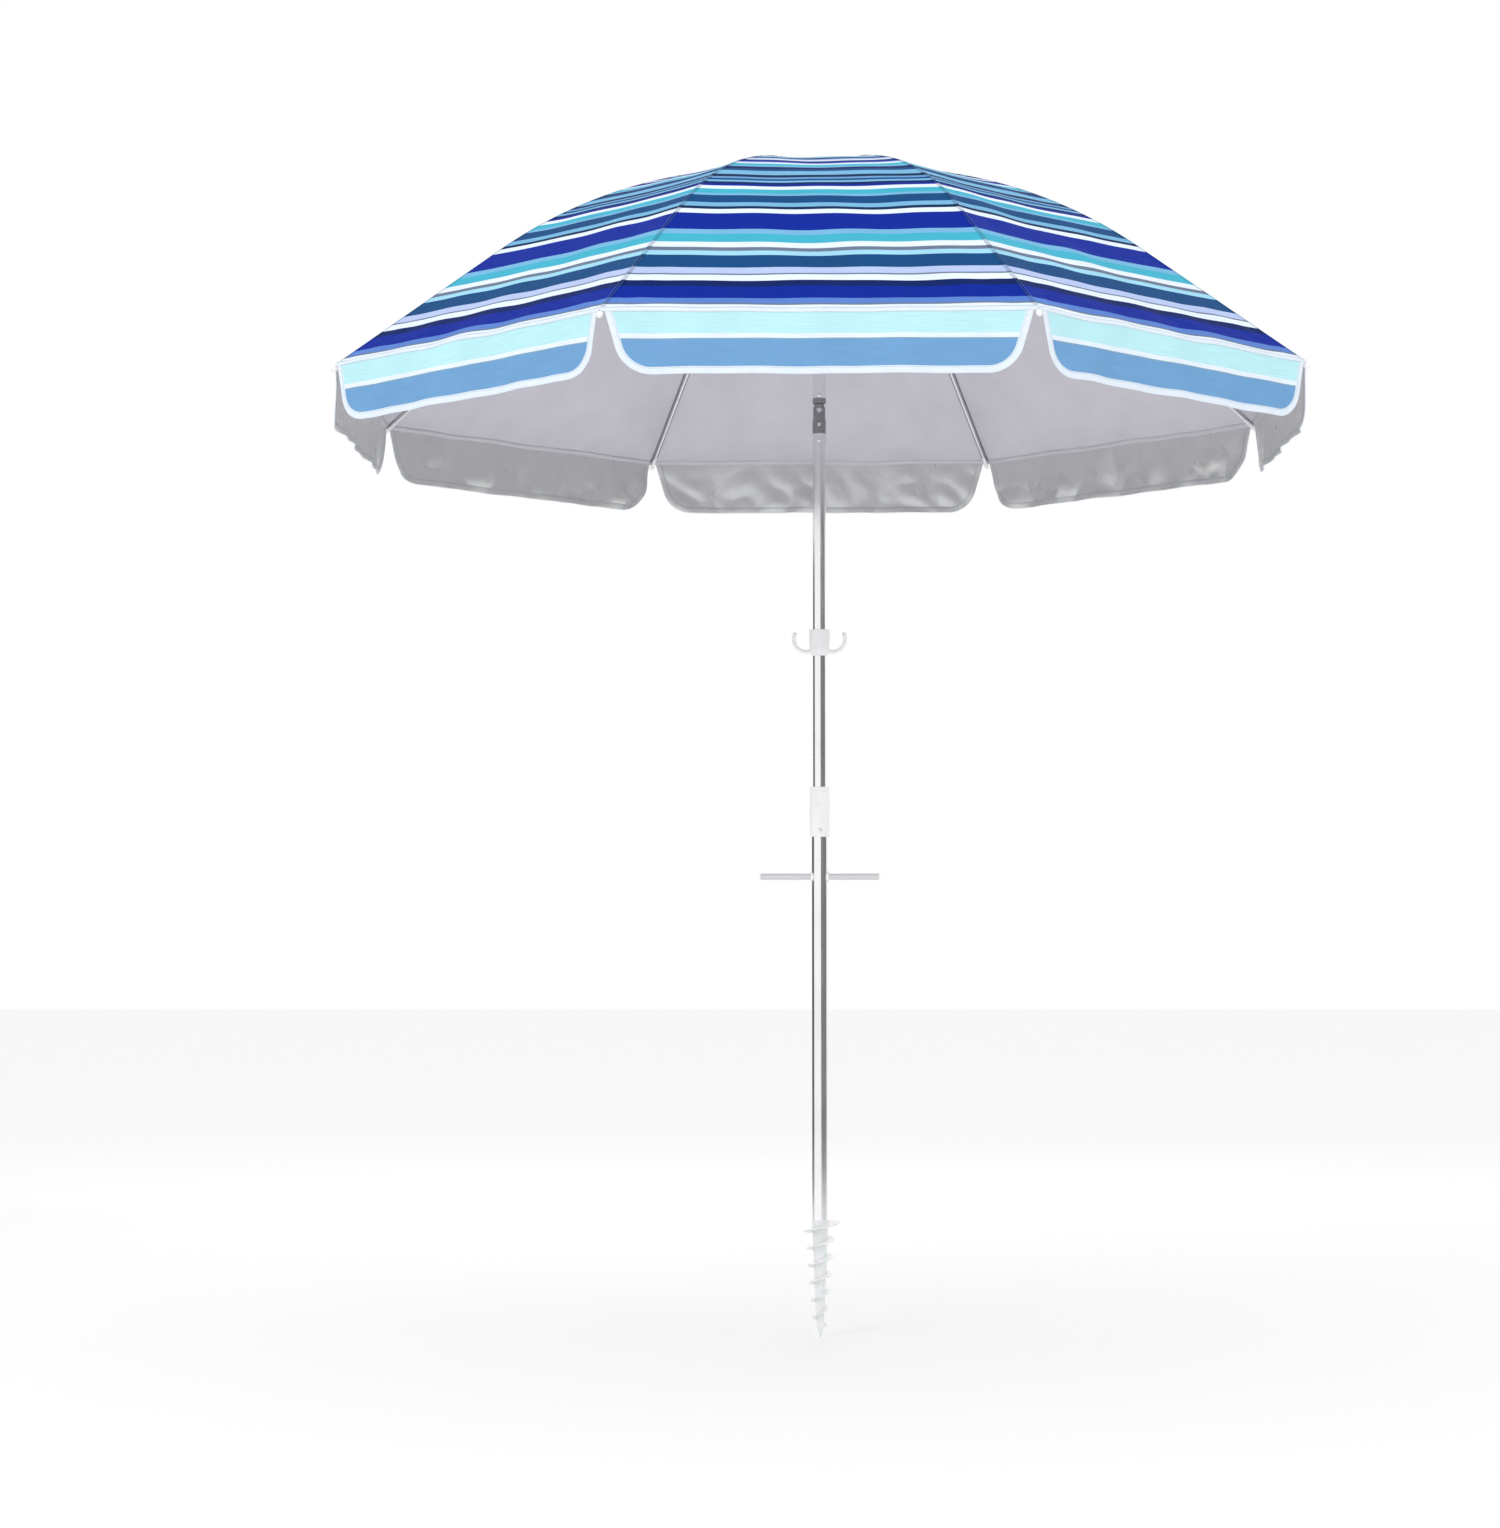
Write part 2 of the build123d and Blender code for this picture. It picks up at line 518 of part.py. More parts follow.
stretcher_frame = Plane(
    (JOINT_R, 0, JOINT_Z), x_dir=(-cos(radians(ARM_ANGLE)), 0, -sin(radians(ARM_ANGLE))), z_dir=(0, 1, 0)
)
FORK_IN, FORK_OUT, FORK_LENGTH, BLADE_LENGTH = 1.45, 2.65, 16, 26
with BuildPart() as stretcher:
    with BuildSketch(Plane.XY):
        Circle(LUG_R)
        with Locations((FORK_LENGTH / 2 + 2, 0)):
            Rectangle(FORK_LENGTH + 4, 6.4)
    extrude(amount=FORK_OUT, both=True)
    with BuildSketch(Plane.XY):
        with Locations((FORK_LENGTH / 2 - 10, 0)):
            Rectangle(FORK_LENGTH + 20, 12)
    extrude(amount=FORK_IN, both=True, mode=Mode.SUBTRACT)
    Cylinder(LUG_PIN_R, 2 * FORK_OUT + 1.6)
    with BuildSketch(Plane.XY):
        with Locations(((FORK_LENGTH + 3 + ARM - BLADE_LENGTH) / 2, 0)):
            Rectangle(ARM - BLADE_LENGTH - FORK_LENGTH - 3, 6)
    extrude(amount=FORK_OUT, both=True)
    with BuildSketch(Plane.XY):
        with Locations(((FORK_LENGTH + 10 + ARM - BLADE_LENGTH - 6) / 2, 2.2)):
            Rectangle(ARM - BLADE_LENGTH - FORK_LENGTH - 16, 4)
    extrude(amount=FORK_OUT - 0.8, both=True, mode=Mode.SUBTRACT)
    with BuildSketch(Plane.XY):
        with Locations((ARM - BLADE_LENGTH / 2 - 1, 0)):
            Rectangle(BLADE_LENGTH + 2, 5)
        with Locations((ARM, 0)):
            Circle(2.9)
    extrude(amount=BLADE_T / 2, both=True)
save_ring(stretcher_frame.location * stretcher.part, "stretcher")

# ---- canopy ------------------------------------------------------------------
# A panel is a flat cloth bent one way only, so each half panel is its middle outline
# drawn out sideways as far as the rib. Sector k is the two half panels sewn over rib k.
panel_plane = Plane(
    (0, 0, 0), x_dir=(squeeze, -sin(radians(HALF)), 0), z_dir=(-sin(radians(HALF)), -squeeze, 0)
)
with BuildPart() as sector:
    with BuildSketch(panel_plane.offset(-GAP)):
        with BuildLine():
            FilletPolyline(
                (0, CROWN_Z), (CORNER_R * squeeze, CORNER_Z), (APOTHEM, RIM_Z), radius=PANEL_ARC_R
            )
        trace(line_width=CLOTH_T)
    extrude(amount=-RIM_R * sin(radians(HALF)) - 5)
    with BuildSketch(Plane((APOTHEM * squeeze, -APOTHEM * sin(radians(HALF)), RIM_Z),
                           x_dir=(sin(radians(HALF)), squeeze, 0),
                           z_dir=(squeeze, -sin(radians(HALF)), 0))):
        with BuildLine():
            Polyline(
                (GAP, 0.3), (VALANCE_TOP, 0.3), (VALANCE_FOOT, -VALANCE_DEPTH), (GAP, -VALANCE_DEPTH),
                close=True,
            )
        make_face()
        hem_corner = vertices().sort_by(Axis.X)[-2:].sort_by(Axis.Y)[0]
        fillet(hem_corner, VALANCE_CORNER)
    extrude(amount=CLOTH_T / 2, both=True)
    split(bisect_by=Plane.XZ, keep=Keep.TOP)
    mirror(about=Plane.XZ)
    with BuildSketch(Plane.XY.offset(CROWN_Z - 60)):
        Circle(CLOTH_HOLE_R)
    extrude(amount=80, mode=Mode.SUBTRACT)
save_ring(sector.part, "canopy_sector")

PATCH_LIFT = CLOTH_T + 0.2
with BuildPart() as crown_patch:
    with BuildSketch(Plane.XZ):
        with BuildLine():
            Polyline(
                (CLOTH_HOLE_R, CROWN_Z - crest * CLOTH_HOLE_R + PATCH_LIFT),
                (PATCH_R, CROWN_Z - crest * PATCH_R + PATCH_LIFT),
                (PATCH_R, CROWN_Z - crest * PATCH_R + PATCH_LIFT + CLOTH_T),
                (CLOTH_HOLE_R, CROWN_Z - crest * CLOTH_HOLE_R + PATCH_LIFT + CLOTH_T), close=True,
            )
        make_face()
    revolve(axis=Axis.Z)
save(crown_patch.part, "crown_patch")

CAP_Z = CROWN_Z + PATCH_LIFT + CLOTH_T
with BuildPart() as crown_cap:
    with BuildSketch(Plane.XZ):
        with BuildLine():
            Polyline(
                (0, NOTCH_Z0 - 20), (5 - GAP, NOTCH_Z0 - 20), (5 - GAP, CAP_Z + 0.5),
                (25, CAP_Z + 0.5 - 20 * crest), (25, CAP_Z + 2.2 - 20 * crest), (14, CAP_Z + 2.5),
                (14, CAP_Z + 4),
            )
            ThreePointArc((14, CAP_Z + 4), (9, CAP_Z + 7), (POLE_FLAT, CAP_Z + 7.8))
            Polyline((POLE_FLAT, CAP_Z + 7.8), (0, CAP_Z + 7.8), (0, NOTCH_Z0 - 20))
        make_face()
    revolve(axis=Axis.Z)
save(crown_cap.part, "crown_cap")

print("hub", HUB_Z, "joint", JOINT_R, JOINT_Z, "runner", RUNNER_Z, "arm angle", ARM_ANGLE)
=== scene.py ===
"""Looks of the beach umbrella: striped canopy with a bound valance, steel poles and plastic fittings.

Metres, +Z up, the pole on the Z axis. Panel j looks out at j * 45 degrees, and rib k stands half a
step on from panel k - 1. A place on a panel is d, the distance out from the pole in the panel's
middle plane, and s, the distance sideways from that middle.
"""
import json
from math import atan, cos, pi, radians, sin, sqrt, tan

import bmesh
import bpy
import numpy as np
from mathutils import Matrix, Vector


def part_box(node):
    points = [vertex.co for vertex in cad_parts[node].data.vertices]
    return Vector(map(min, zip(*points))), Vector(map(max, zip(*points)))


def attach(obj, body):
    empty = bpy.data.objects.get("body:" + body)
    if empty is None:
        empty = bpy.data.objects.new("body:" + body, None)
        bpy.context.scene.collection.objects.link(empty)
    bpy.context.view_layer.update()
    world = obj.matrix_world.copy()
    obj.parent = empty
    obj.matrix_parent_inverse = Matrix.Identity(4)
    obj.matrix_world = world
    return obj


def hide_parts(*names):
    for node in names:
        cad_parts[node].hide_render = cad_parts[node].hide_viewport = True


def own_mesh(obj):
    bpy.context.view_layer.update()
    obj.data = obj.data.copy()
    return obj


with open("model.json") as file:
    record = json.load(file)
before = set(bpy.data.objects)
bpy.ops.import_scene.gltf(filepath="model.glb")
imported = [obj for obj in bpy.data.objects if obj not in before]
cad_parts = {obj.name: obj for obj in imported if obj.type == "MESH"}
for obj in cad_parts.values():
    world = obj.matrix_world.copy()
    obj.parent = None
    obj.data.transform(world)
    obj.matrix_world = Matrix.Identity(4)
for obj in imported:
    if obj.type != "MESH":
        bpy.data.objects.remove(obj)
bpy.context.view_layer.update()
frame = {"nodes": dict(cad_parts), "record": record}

MM = 0.001
RIBS = 8
STEP = radians(45)
HALF = STEP / 2

# ---- canopy outline, as the frame has it ---------------------------------------
RIM_R, RIM_Z, CROWN_Z = 0.930, 1.534, 1.981
CREST_SLOPE, EAVE_SLOPE = 10, 37  # degrees, along a rib
PANEL_ARC_R = 0.872
CLOTH_T = 0.8 * MM
INNER_D = 22 * MM  # the cloth starts under the crown patch
PATCH_R, PATCH_HOLE, PATCH_LIFT, PATCH_FOLD = 0.054, 0.010, 1.6 * MM, 3 * MM
VALANCE_DEPTH, VALANCE_TOP, VALANCE_FOOT, VALANCE_CORNER = 0.105, 0.348, 0.318, 0.060
BINDING_W = 11.5 * MM
SAG = 3.5 * MM  # a panel's middle hangs this far below a flat one

APOTHEM = RIM_R * cos(HALF)
WIDEN = tan(HALF)  # half a panel's width over its distance from the pole
crest, eave = tan(radians(CREST_SLOPE)) / cos(HALF), tan(radians(EAVE_SLOPE)) / cos(HALF)
CORNER_D = (CROWN_Z - RIM_Z - eave * APOTHEM) / (crest - eave)
TANGENT = PANEL_ARC_R * tan((atan(eave) - atan(crest)) / 2)
ARC_D0 = CORNER_D - TANGENT * cos(atan(crest))
ARC_D1 = CORNER_D + TANGENT * cos(atan(eave))
ARC_CENTRE_D = ARC_D0 - PANEL_ARC_R * sin(atan(crest))
ARC_CENTRE_Z = CROWN_Z - crest * ARC_D0 - PANEL_ARC_R * cos(atan(crest))

# ---- stripes ---------------------------------------------------------------------
COLOURS = {  # sRGB, 0 to 255
    "royal": (2, 38, 152), "navy": (4, 33, 98), "steel": (16, 74, 128), "ink": (14, 44, 84),
    "aqua": (66, 178, 204), "pale_aqua": (160, 216, 240), "white": (228, 239, 250),
    "cream": (226, 236, 240), "sky": (108, 160, 210), "light": (118, 180, 220),
    "lavender": (182, 198, 238), "grey": (108, 122, 146), "haze": (188, 234, 241),
    "denim": (114, 162, 208), "mist": (136, 167, 190), "periwinkle": (90, 130, 206),
    "shadow": (96, 98, 106),
}
PLAN_EYE = 2.6  # height over the rim of the eye that PANEL_STRIPES are listed for
PANEL_STRIPES = [  # outer edge in mm from the pole, as that eye sees it
    (100, "royal"), (107, "navy"), (123, "white"), (131, "ink"), (143, "pale_aqua"),
    (178, "steel"), (189, "white"), (215, "aqua"), (229, "white"), (259, "royal"),
    (273, "light"), (278, "ink"), (304, "cream"), (312, "ink"), (324, "pale_aqua"),
    (350, "steel"), (354, "navy"), (370, "lavender"), (379, "white"), (389, "navy"),
    (407, "royal"), (415, "lavender"), (424, "white"), (443, "aqua"), (452, "light"),
    (468, "navy"), (482, "steel"), (506, "light"), (519, "ink"), (527, "sky"),
    (535, "steel"), (543, "light"), (552, "navy"), (560, "royal"), (572, "white"),
    (587, "aqua"), (594, "light"), (616, "steel"), (627, "light"), (634, "ink"),
    (645, "white"), (685, "royal"), (696, "light"), (715, "aqua"), (727, "white"),
    (735, "grey"), (745, "pale_aqua"), (772, "steel"), (785, "lavender"), (788, "grey"),
    (800, "white"), (812, "navy"), (836, "royal"), (846, "periwinkle"), (849, "grey"),
    (860, "white"),
]
VALANCE_STRIPES = [  # outer edge in mm below the rim
    (3, "white"), (39, "haze"), (47, "white"), (49, "mist"), (94, "denim"), (106, "white"),
]
PATCH_STRIPES = [  # edge across the patch in mm, from its front
    (-44, "navy"), (-34, "sky"), (-24, "white"), (-12, "steel"), (-4, "royal"), (6, "pale_aqua"),
    (16, "white"), (26, "sky"), (38, "aqua"), (48, "steel"), (56, "royal"),
]


SETTLING_ROUNDS = 30


def linear(name):
    """A named colour as linear RGBA."""
    channels = [v / 255 for v in COLOURS[name]]
    return [c / 12.92 if c <= 0.04045 else ((c + 0.055) / 1.055) ** 2.4 for c in channels] + [1.0]


# ---- shape of the cloth ----------------------------------------------------------
def height(d):
    """Height of a panel's middle at distance d: straight, arc, straight."""
    on_arc = ARC_CENTRE_Z + np.sqrt(np.maximum(PANEL_ARC_R ** 2 - (d - ARC_CENTRE_D) ** 2, 0))
    outer = np.where(d > ARC_D1, RIM_Z + eave * (APOTHEM - d), on_arc)
    return np.where(d < ARC_D0, CROWN_Z - crest * d, outer)


def on_cloth(stripes):
    """Stripes listed as they look from PLAN_EYE over the rim, moved to where they lie on the cloth."""
    seen = np.array([mm for mm, _ in stripes]) * MM
    d = seen
    for _ in range(SETTLING_ROUNDS):
        d = seen * (1 - (height(d) - RIM_Z) / PLAN_EYE)
    return [(place / MM, name) for place, (_, name) in zip(d, stripes)]


def ripple(x, y, wavelength, seed, waves=9):
    """A smooth random field of about +-1 with the given wavelength, the same each run."""
    rng = np.random.default_rng(seed)
    turns, phases = rng.uniform(0, pi, waves), rng.uniform(0, 2 * pi, waves)
    stretches = rng.uniform(0.7, 1.5, waves)
    total = np.zeros(np.broadcast(x, y).shape)
    for turn, phase, stretch in zip(turns, phases, stretches):
        total += np.sin((x * cos(turn) + y * sin(turn)) * 2 * pi * stretch / wavelength + phase)
    return total / sqrt(waves)


CREST_ROUNDING = 0.15


def creased(x, y, wavelength, seed):
    """A random field with narrow rounded crests, as cloth that was folded away has."""
    return 1 - np.sqrt(ripple(x, y, wavelength, seed) ** 2 + CREST_ROUNDING)


PANEL_SEED, WIDE_SEED, TIGHT_SEED = 40, 70, 90  # plus the panel's number
PANEL_RIPPLE, PANEL_WAVELENGTH, CALM_D = 1.1 * MM, 0.17, 0.3
RAYS, RAY_HEIGHT, RAY_REACH, RAY_START = 17, 1.5 * MM, 0.12, 0.03  # pull lines at the rib tips


def panel_lift(j, d, s):
    """How far the cloth of panel j stands off its outline: sag, undulations and rays from the tips."""
    toward_rib = np.clip(np.abs(s) / np.maximum(d * WIDEN, 1e-6), 0, 1)
    sag = -SAG * (1 - toward_rib ** 2) * (np.sin(pi * np.clip(d / APOTHEM, 0, 1) * 0.93) ** 0.8 + 0.05)
    soft = PANEL_RIPPLE * ripple(d, s, PANEL_WAVELENGTH, PANEL_SEED + j)
    soft = soft * (1 - toward_rib ** 4) * np.clip(d / CALM_D, 0, 1)
    out, side = APOTHEM - d, APOTHEM * WIDEN - np.abs(s)
    reach = np.sqrt(out ** 2 * (1 + eave ** 2) + side ** 2)
    ray = np.cos(RAYS * np.arctan2(side, out + 1e-6) + 2.1 * j + (s > 0) * 1.3)
    fade = np.exp(-reach / RAY_REACH) * (1 - np.exp(-(reach / RAY_START) ** 2)) * (1 - toward_rib ** 6)
    return sag + soft + RAY_HEIGHT * ray * fade


def panel_point(j, d, s):
    """Point of panel j's cloth."""
    turn = j * STEP
    z = height(d) + panel_lift(j, d, s)
    return np.stack([d * cos(turn) - s * sin(turn), d * sin(turn) + s * cos(turn), z], -1)


LONG_SWING, SHORT_SWING = (3.6 * MM, 0.27), (2.2 * MM, 0.115)  # height and wavelength
WIDE_CREASE, TIGHT_CREASE = 0.13, 0.085  # wavelengths
BACK_CREASES, FRONT_CREASES = (6.5, 2.0), (1.5, 0.3)  # mm, wide and tight
FLARE, CORNER_CURL = 2, 6  # mm
RIM_FADE = 0.05  # the rim's own waves die out this far down the flap


def flap_lean(j, s, h):
    """How far panel j's valance stands out from the rim at depth h."""
    down = np.clip(h / VALANCE_DEPTH, 0, 1.2)
    swing = LONG_SWING[0] * np.sin(2 * pi * s / LONG_SWING[1] + 1.9 * j)
    swing = swing + SHORT_SWING[0] * np.sin(2 * pi * s / SHORT_SWING[1] + 0.8 + j)
    behind = sin(j * STEP) > 0.5  # the flaps at the back keep more of their creases
    wide_mm, tight_mm = BACK_CREASES if behind else FRONT_CREASES
    wide = creased(s, h * 1.3, WIDE_CREASE, WIDE_SEED + j) * wide_mm
    tight = creased(s, h, TIGHT_CREASE, TIGHT_SEED + j) * tight_mm
    curl = CORNER_CURL * (np.abs(s) / VALANCE_TOP) ** 8 * (-1) ** j
    return down * (swing + (wide + tight + FLARE * down) * MM) + down ** 2 * curl * MM


def flap_point(j, s, h):
    """Point of panel j's valance, h below the rim."""
    turn = j * STEP
    d = APOTHEM + flap_lean(j, s, h)
    z = RIM_Z + panel_lift(j, np.full_like(s, APOTHEM), s) * np.clip(1 - h / RIM_FADE, 0, 1) - h
    return np.stack([d * cos(turn) - s * sin(turn), d * sin(turn) + s * cos(turn), z], -1)


def surface(point, j, a, b):
    """Points and unit normals of a cloth function at places a, b."""
    nudge = 0.5 * MM
    along = point(j, a + nudge, b) - point(j, a - nudge, b)
    across = point(j, a, b + nudge) - point(j, a, b - nudge)
    normal = np.cross(along, across)
    return point(j, a, b), normal / np.linalg.norm(normal, axis=-1, keepdims=True)


def panel_surface(j, d, s):
    return surface(panel_point, j, d, s)


def flap_surface(j, s, h):
    """The valance's striped side faces away from the pole."""
    points, normals = surface(flap_point, j, s, h)
    outward = np.array([cos(j * STEP), sin(j * STEP), 0])
    return points, normals * np.sign(normals @ outward)[..., None]


slope = np.arctan2(VALANCE_TOP - VALANCE_FOOT, VALANCE_DEPTH)
CORNER_H = VALANCE_DEPTH - VALANCE_CORNER
CORNER_S = VALANCE_TOP - CORNER_H * tan(slope) - VALANCE_CORNER / cos(slope)
CORNER_START_H = CORNER_H + VALANCE_CORNER * sin(slope)


def flap_edge(h):
    """Half the valance's width at depth h: a slanting side, then a rounded corner."""
    rounded = CORNER_S + np.sqrt(np.maximum(VALANCE_CORNER ** 2 - (h - CORNER_H) ** 2, 0))
    return np.where(h < CORNER_START_H, VALANCE_TOP - h * tan(slope), rounded)


# ---- mesh helpers ------------------------------------------------------------------
def rows_between(start, stripes, longest):
    """Row positions that fall on every stripe edge and are never further apart than longest."""
    edges = [start] + [mm * MM for mm, _ in stripes if mm * MM > start]
    rows = [start]
    for low, high in zip(edges, edges[1:]):
        count = max(1, int(np.ceil((high - low) / longest)))
        rows += [low + (high - low) * (i + 1) / count for i in range(count)]
    return np.array(rows)


def stripe_colours(centres, stripes):
    """The stripe colour at each position."""
    edges = np.array([mm * MM for mm, _ in stripes])
    table = np.array([linear(name) for _, name in stripes])
    return table[np.clip(np.searchsorted(edges, centres), 0, len(stripes) - 1)]


def put_in_scene(name, data):
    """A linked object for a mesh, light or camera."""
    thing = bpy.data.objects.new(name, data)
    bpy.context.scene.collection.objects.link(thing)
    return thing


class Cloth:
    """Collects vertices, faces, colours and weave coordinates of one mesh."""

    def __init__(self):
        self.points, self.faces, self.slots = [], [], []
        self.colours, self.weaves, self.normals = [], [], []
        self.count = 0

    def add(self, points, faces, slot, colours, weave, normals=None):
        """points (n, 3), faces (m, 4), one colour per face, weave (n, 2) in metres."""
        self.points.append(points)
        self.faces.append(faces + self.count)
        self.slots.append(np.full(len(faces), slot))
        self.colours.append(colours)
        self.weaves.append(weave)
        self.normals.append(np.zeros_like(points) if normals is None else normals)
        self.count += len(points)

    def build(self, name, materials):
        mesh = bpy.data.meshes.new(name)
        faces = np.concatenate(self.faces)
        mesh.from_pydata(np.concatenate(self.points).tolist(), [], faces.tolist())
        mesh.polygons.foreach_set("material_index", np.concatenate(self.slots).astype(np.int32))
        mesh.polygons.foreach_set("use_smooth", np.ones(len(faces), bool))
        stripe = mesh.color_attributes.new("stripe", "FLOAT_COLOR", "CORNER")
        stripe.data.foreach_set("color", np.repeat(np.concatenate(self.colours), 4, axis=0).ravel())
        weave = np.concatenate(self.weaves)
        for axis, label in enumerate(("weave_u", "weave_v")):
            values = mesh.attributes.new(label, "FLOAT", "POINT")
            values.data.foreach_set("value", np.ascontiguousarray(weave[:, axis], dtype=np.float32))
        mesh.update()
        normals = np.concatenate(self.normals)
        if normals.any():
            mesh.normals_split_custom_set_from_vertices(normals.tolist())
        for material in materials:
            mesh.materials.append(material)
        return put_in_scene(name, mesh)


def grid_faces(rows, columns, flip=False):
    """Quads of a rows x columns grid of vertices, on the same diagonals whichever way they face."""
    r, c = np.meshgrid(np.arange(rows - 1), np.arange(columns - 1), indexing="ij")
    first = (r * columns + c).ravel()
    quads = np.stack([first, first + 1, first + columns + 1, first + columns], -1)
    return quads[:, [0, 3, 2, 1]] if flip else quads


def border_faces(rows, columns):
    """Quads that join the border of a grid to that of a second one numbered after it."""
    ring = list(range(columns))
    ring += [r * columns + columns - 1 for r in range(1, rows)]
    ring += [(rows - 1) * columns + c for c in range(columns - 2, -1, -1)]
    ring += [r * columns for r in range(rows - 2, 0, -1)]
    step = rows * columns
    return np.array([[a, a + step, b + step, b] for a, b in zip(ring, ring[1:] + ring[:1])])


def add_sheet(cloth, points, normals, weave, row_colours):
    """A closed sheet from a grid of middle points: striped side, back side and edges."""
    rows, columns = points.shape[:2]
    flat = points.reshape(-1, 3)
    n = normals.reshape(-1, 3)
    u = weave.reshape(-1, 2)
    flip = np.dot(np.cross(flat[1] - flat[0], flat[columns] - flat[0]), n[0]) < 0
    colours = np.repeat(row_colours, columns - 1, axis=0)
    both = np.concatenate([flat + n * CLOTH_T / 2, flat - n * CLOTH_T / 2])
    front = grid_faces(rows, columns, flip)
    back = grid_faces(rows, columns, not flip) + rows * columns
    edge = border_faces(rows, columns)
    edge = edge if flip else edge[:, ::-1]
    faces = np.concatenate([front, back, edge])
    edge_colours = np.repeat(row_colours[-1:], len(edge), axis=0)
    cloth.add(both, faces, 0, np.concatenate([colours, colours, edge_colours]), np.concatenate([u, u]),
              np.concatenate([n, -n]))
    cloth.slots[-1][len(front):len(front) + len(back)] = 1


def add_ribbon(cloth, loop, colours, weave, lined=()):
    """A strip with cross-sections loop (sections, points, 3); lined names the sides of material 2."""
    sections, around = loop.shape[:2]
    index = np.arange(sections * around).reshape(sections, around)
    a, b = index[:-1], index[1:]
    quads = np.stack([a, np.roll(a, -1, 1), np.roll(b, -1, 1), b], -1).reshape(-1, 4)
    cloth.add(loop.reshape(-1, 3), quads, 0, np.repeat(colours, around, axis=0), weave.reshape(-1, 2))
    cloth.slots[-1] = np.tile(np.isin(np.arange(around), lined).astype(int), sections - 1)


def outward_faces(piece):
    """Turns all faces of a closed mesh outwards."""
    mesh = bmesh.new()
    mesh.from_mesh(piece.data)
    bmesh.ops.recalc_face_normals(mesh, faces=mesh.faces)
    mesh.to_mesh(piece.data)
    mesh.free()


THREAD_R, STITCH, STITCH_GAP = 0.28 * MM, 3.2 * MM, 1.3 * MM
STITCH_RINGS = (  # share of the length, thickness and lift in thread radii
    (0, 0.25, -0.1), (0.25, 1, 0.7), (0.75, 1, 0.7), (1, 0.25, -0.1),
)
STITCH_SIDES = (0, pi / 2, pi, 3 * pi / 2)


def add_stitches(cloth, path, normals, colour):
    """A row of raised stitches along path, each a short tapered rod lying on the cloth."""
    steps = np.linalg.norm(np.diff(path, axis=0), axis=1)
    run = np.concatenate([[0], np.cumsum(steps)])
    starts = np.arange(STITCH_GAP, run[-1] - STITCH, STITCH + STITCH_GAP)

    def at(values, distance):
        return np.stack([np.interp(distance, run, values[:, i]) for i in range(3)], -1)

    head, tail, up = at(path, starts), at(path, starts + STITCH), at(normals, starts)
    along = tail - head
    length = np.linalg.norm(along, axis=1, keepdims=True)
    along = along / length
    side = np.cross(along, up)
    side /= np.linalg.norm(side, axis=1, keepdims=True)
    sections = []
    for share, thick, lift in STITCH_RINGS:
        centre = head + along * length * share + up * THREAD_R * lift
        ring = [centre + (side * cos(t) + up * sin(t)) * THREAD_R * thick for t in STITCH_SIDES]
        sections.append(np.stack(ring, 1))
    points = np.stack(sections, 1)
    index = np.arange(points[..., 0].size).reshape(points.shape[:3])
    a, b = index[:, :-1], index[:, 1:]
    walls = np.stack([a, b, np.roll(b, -1, 2), np.roll(a, -1, 2)], -1).reshape(-1, 4)
    ends = np.concatenate([index[:, 0], index[:, 3, ::-1]])
    faces = np.concatenate([walls, ends])
    colours = np.repeat(np.array([linear(colour)]), len(faces), axis=0)
    cloth.add(points.reshape(-1, 3), faces, 0, colours, np.zeros((index.size, 2)))


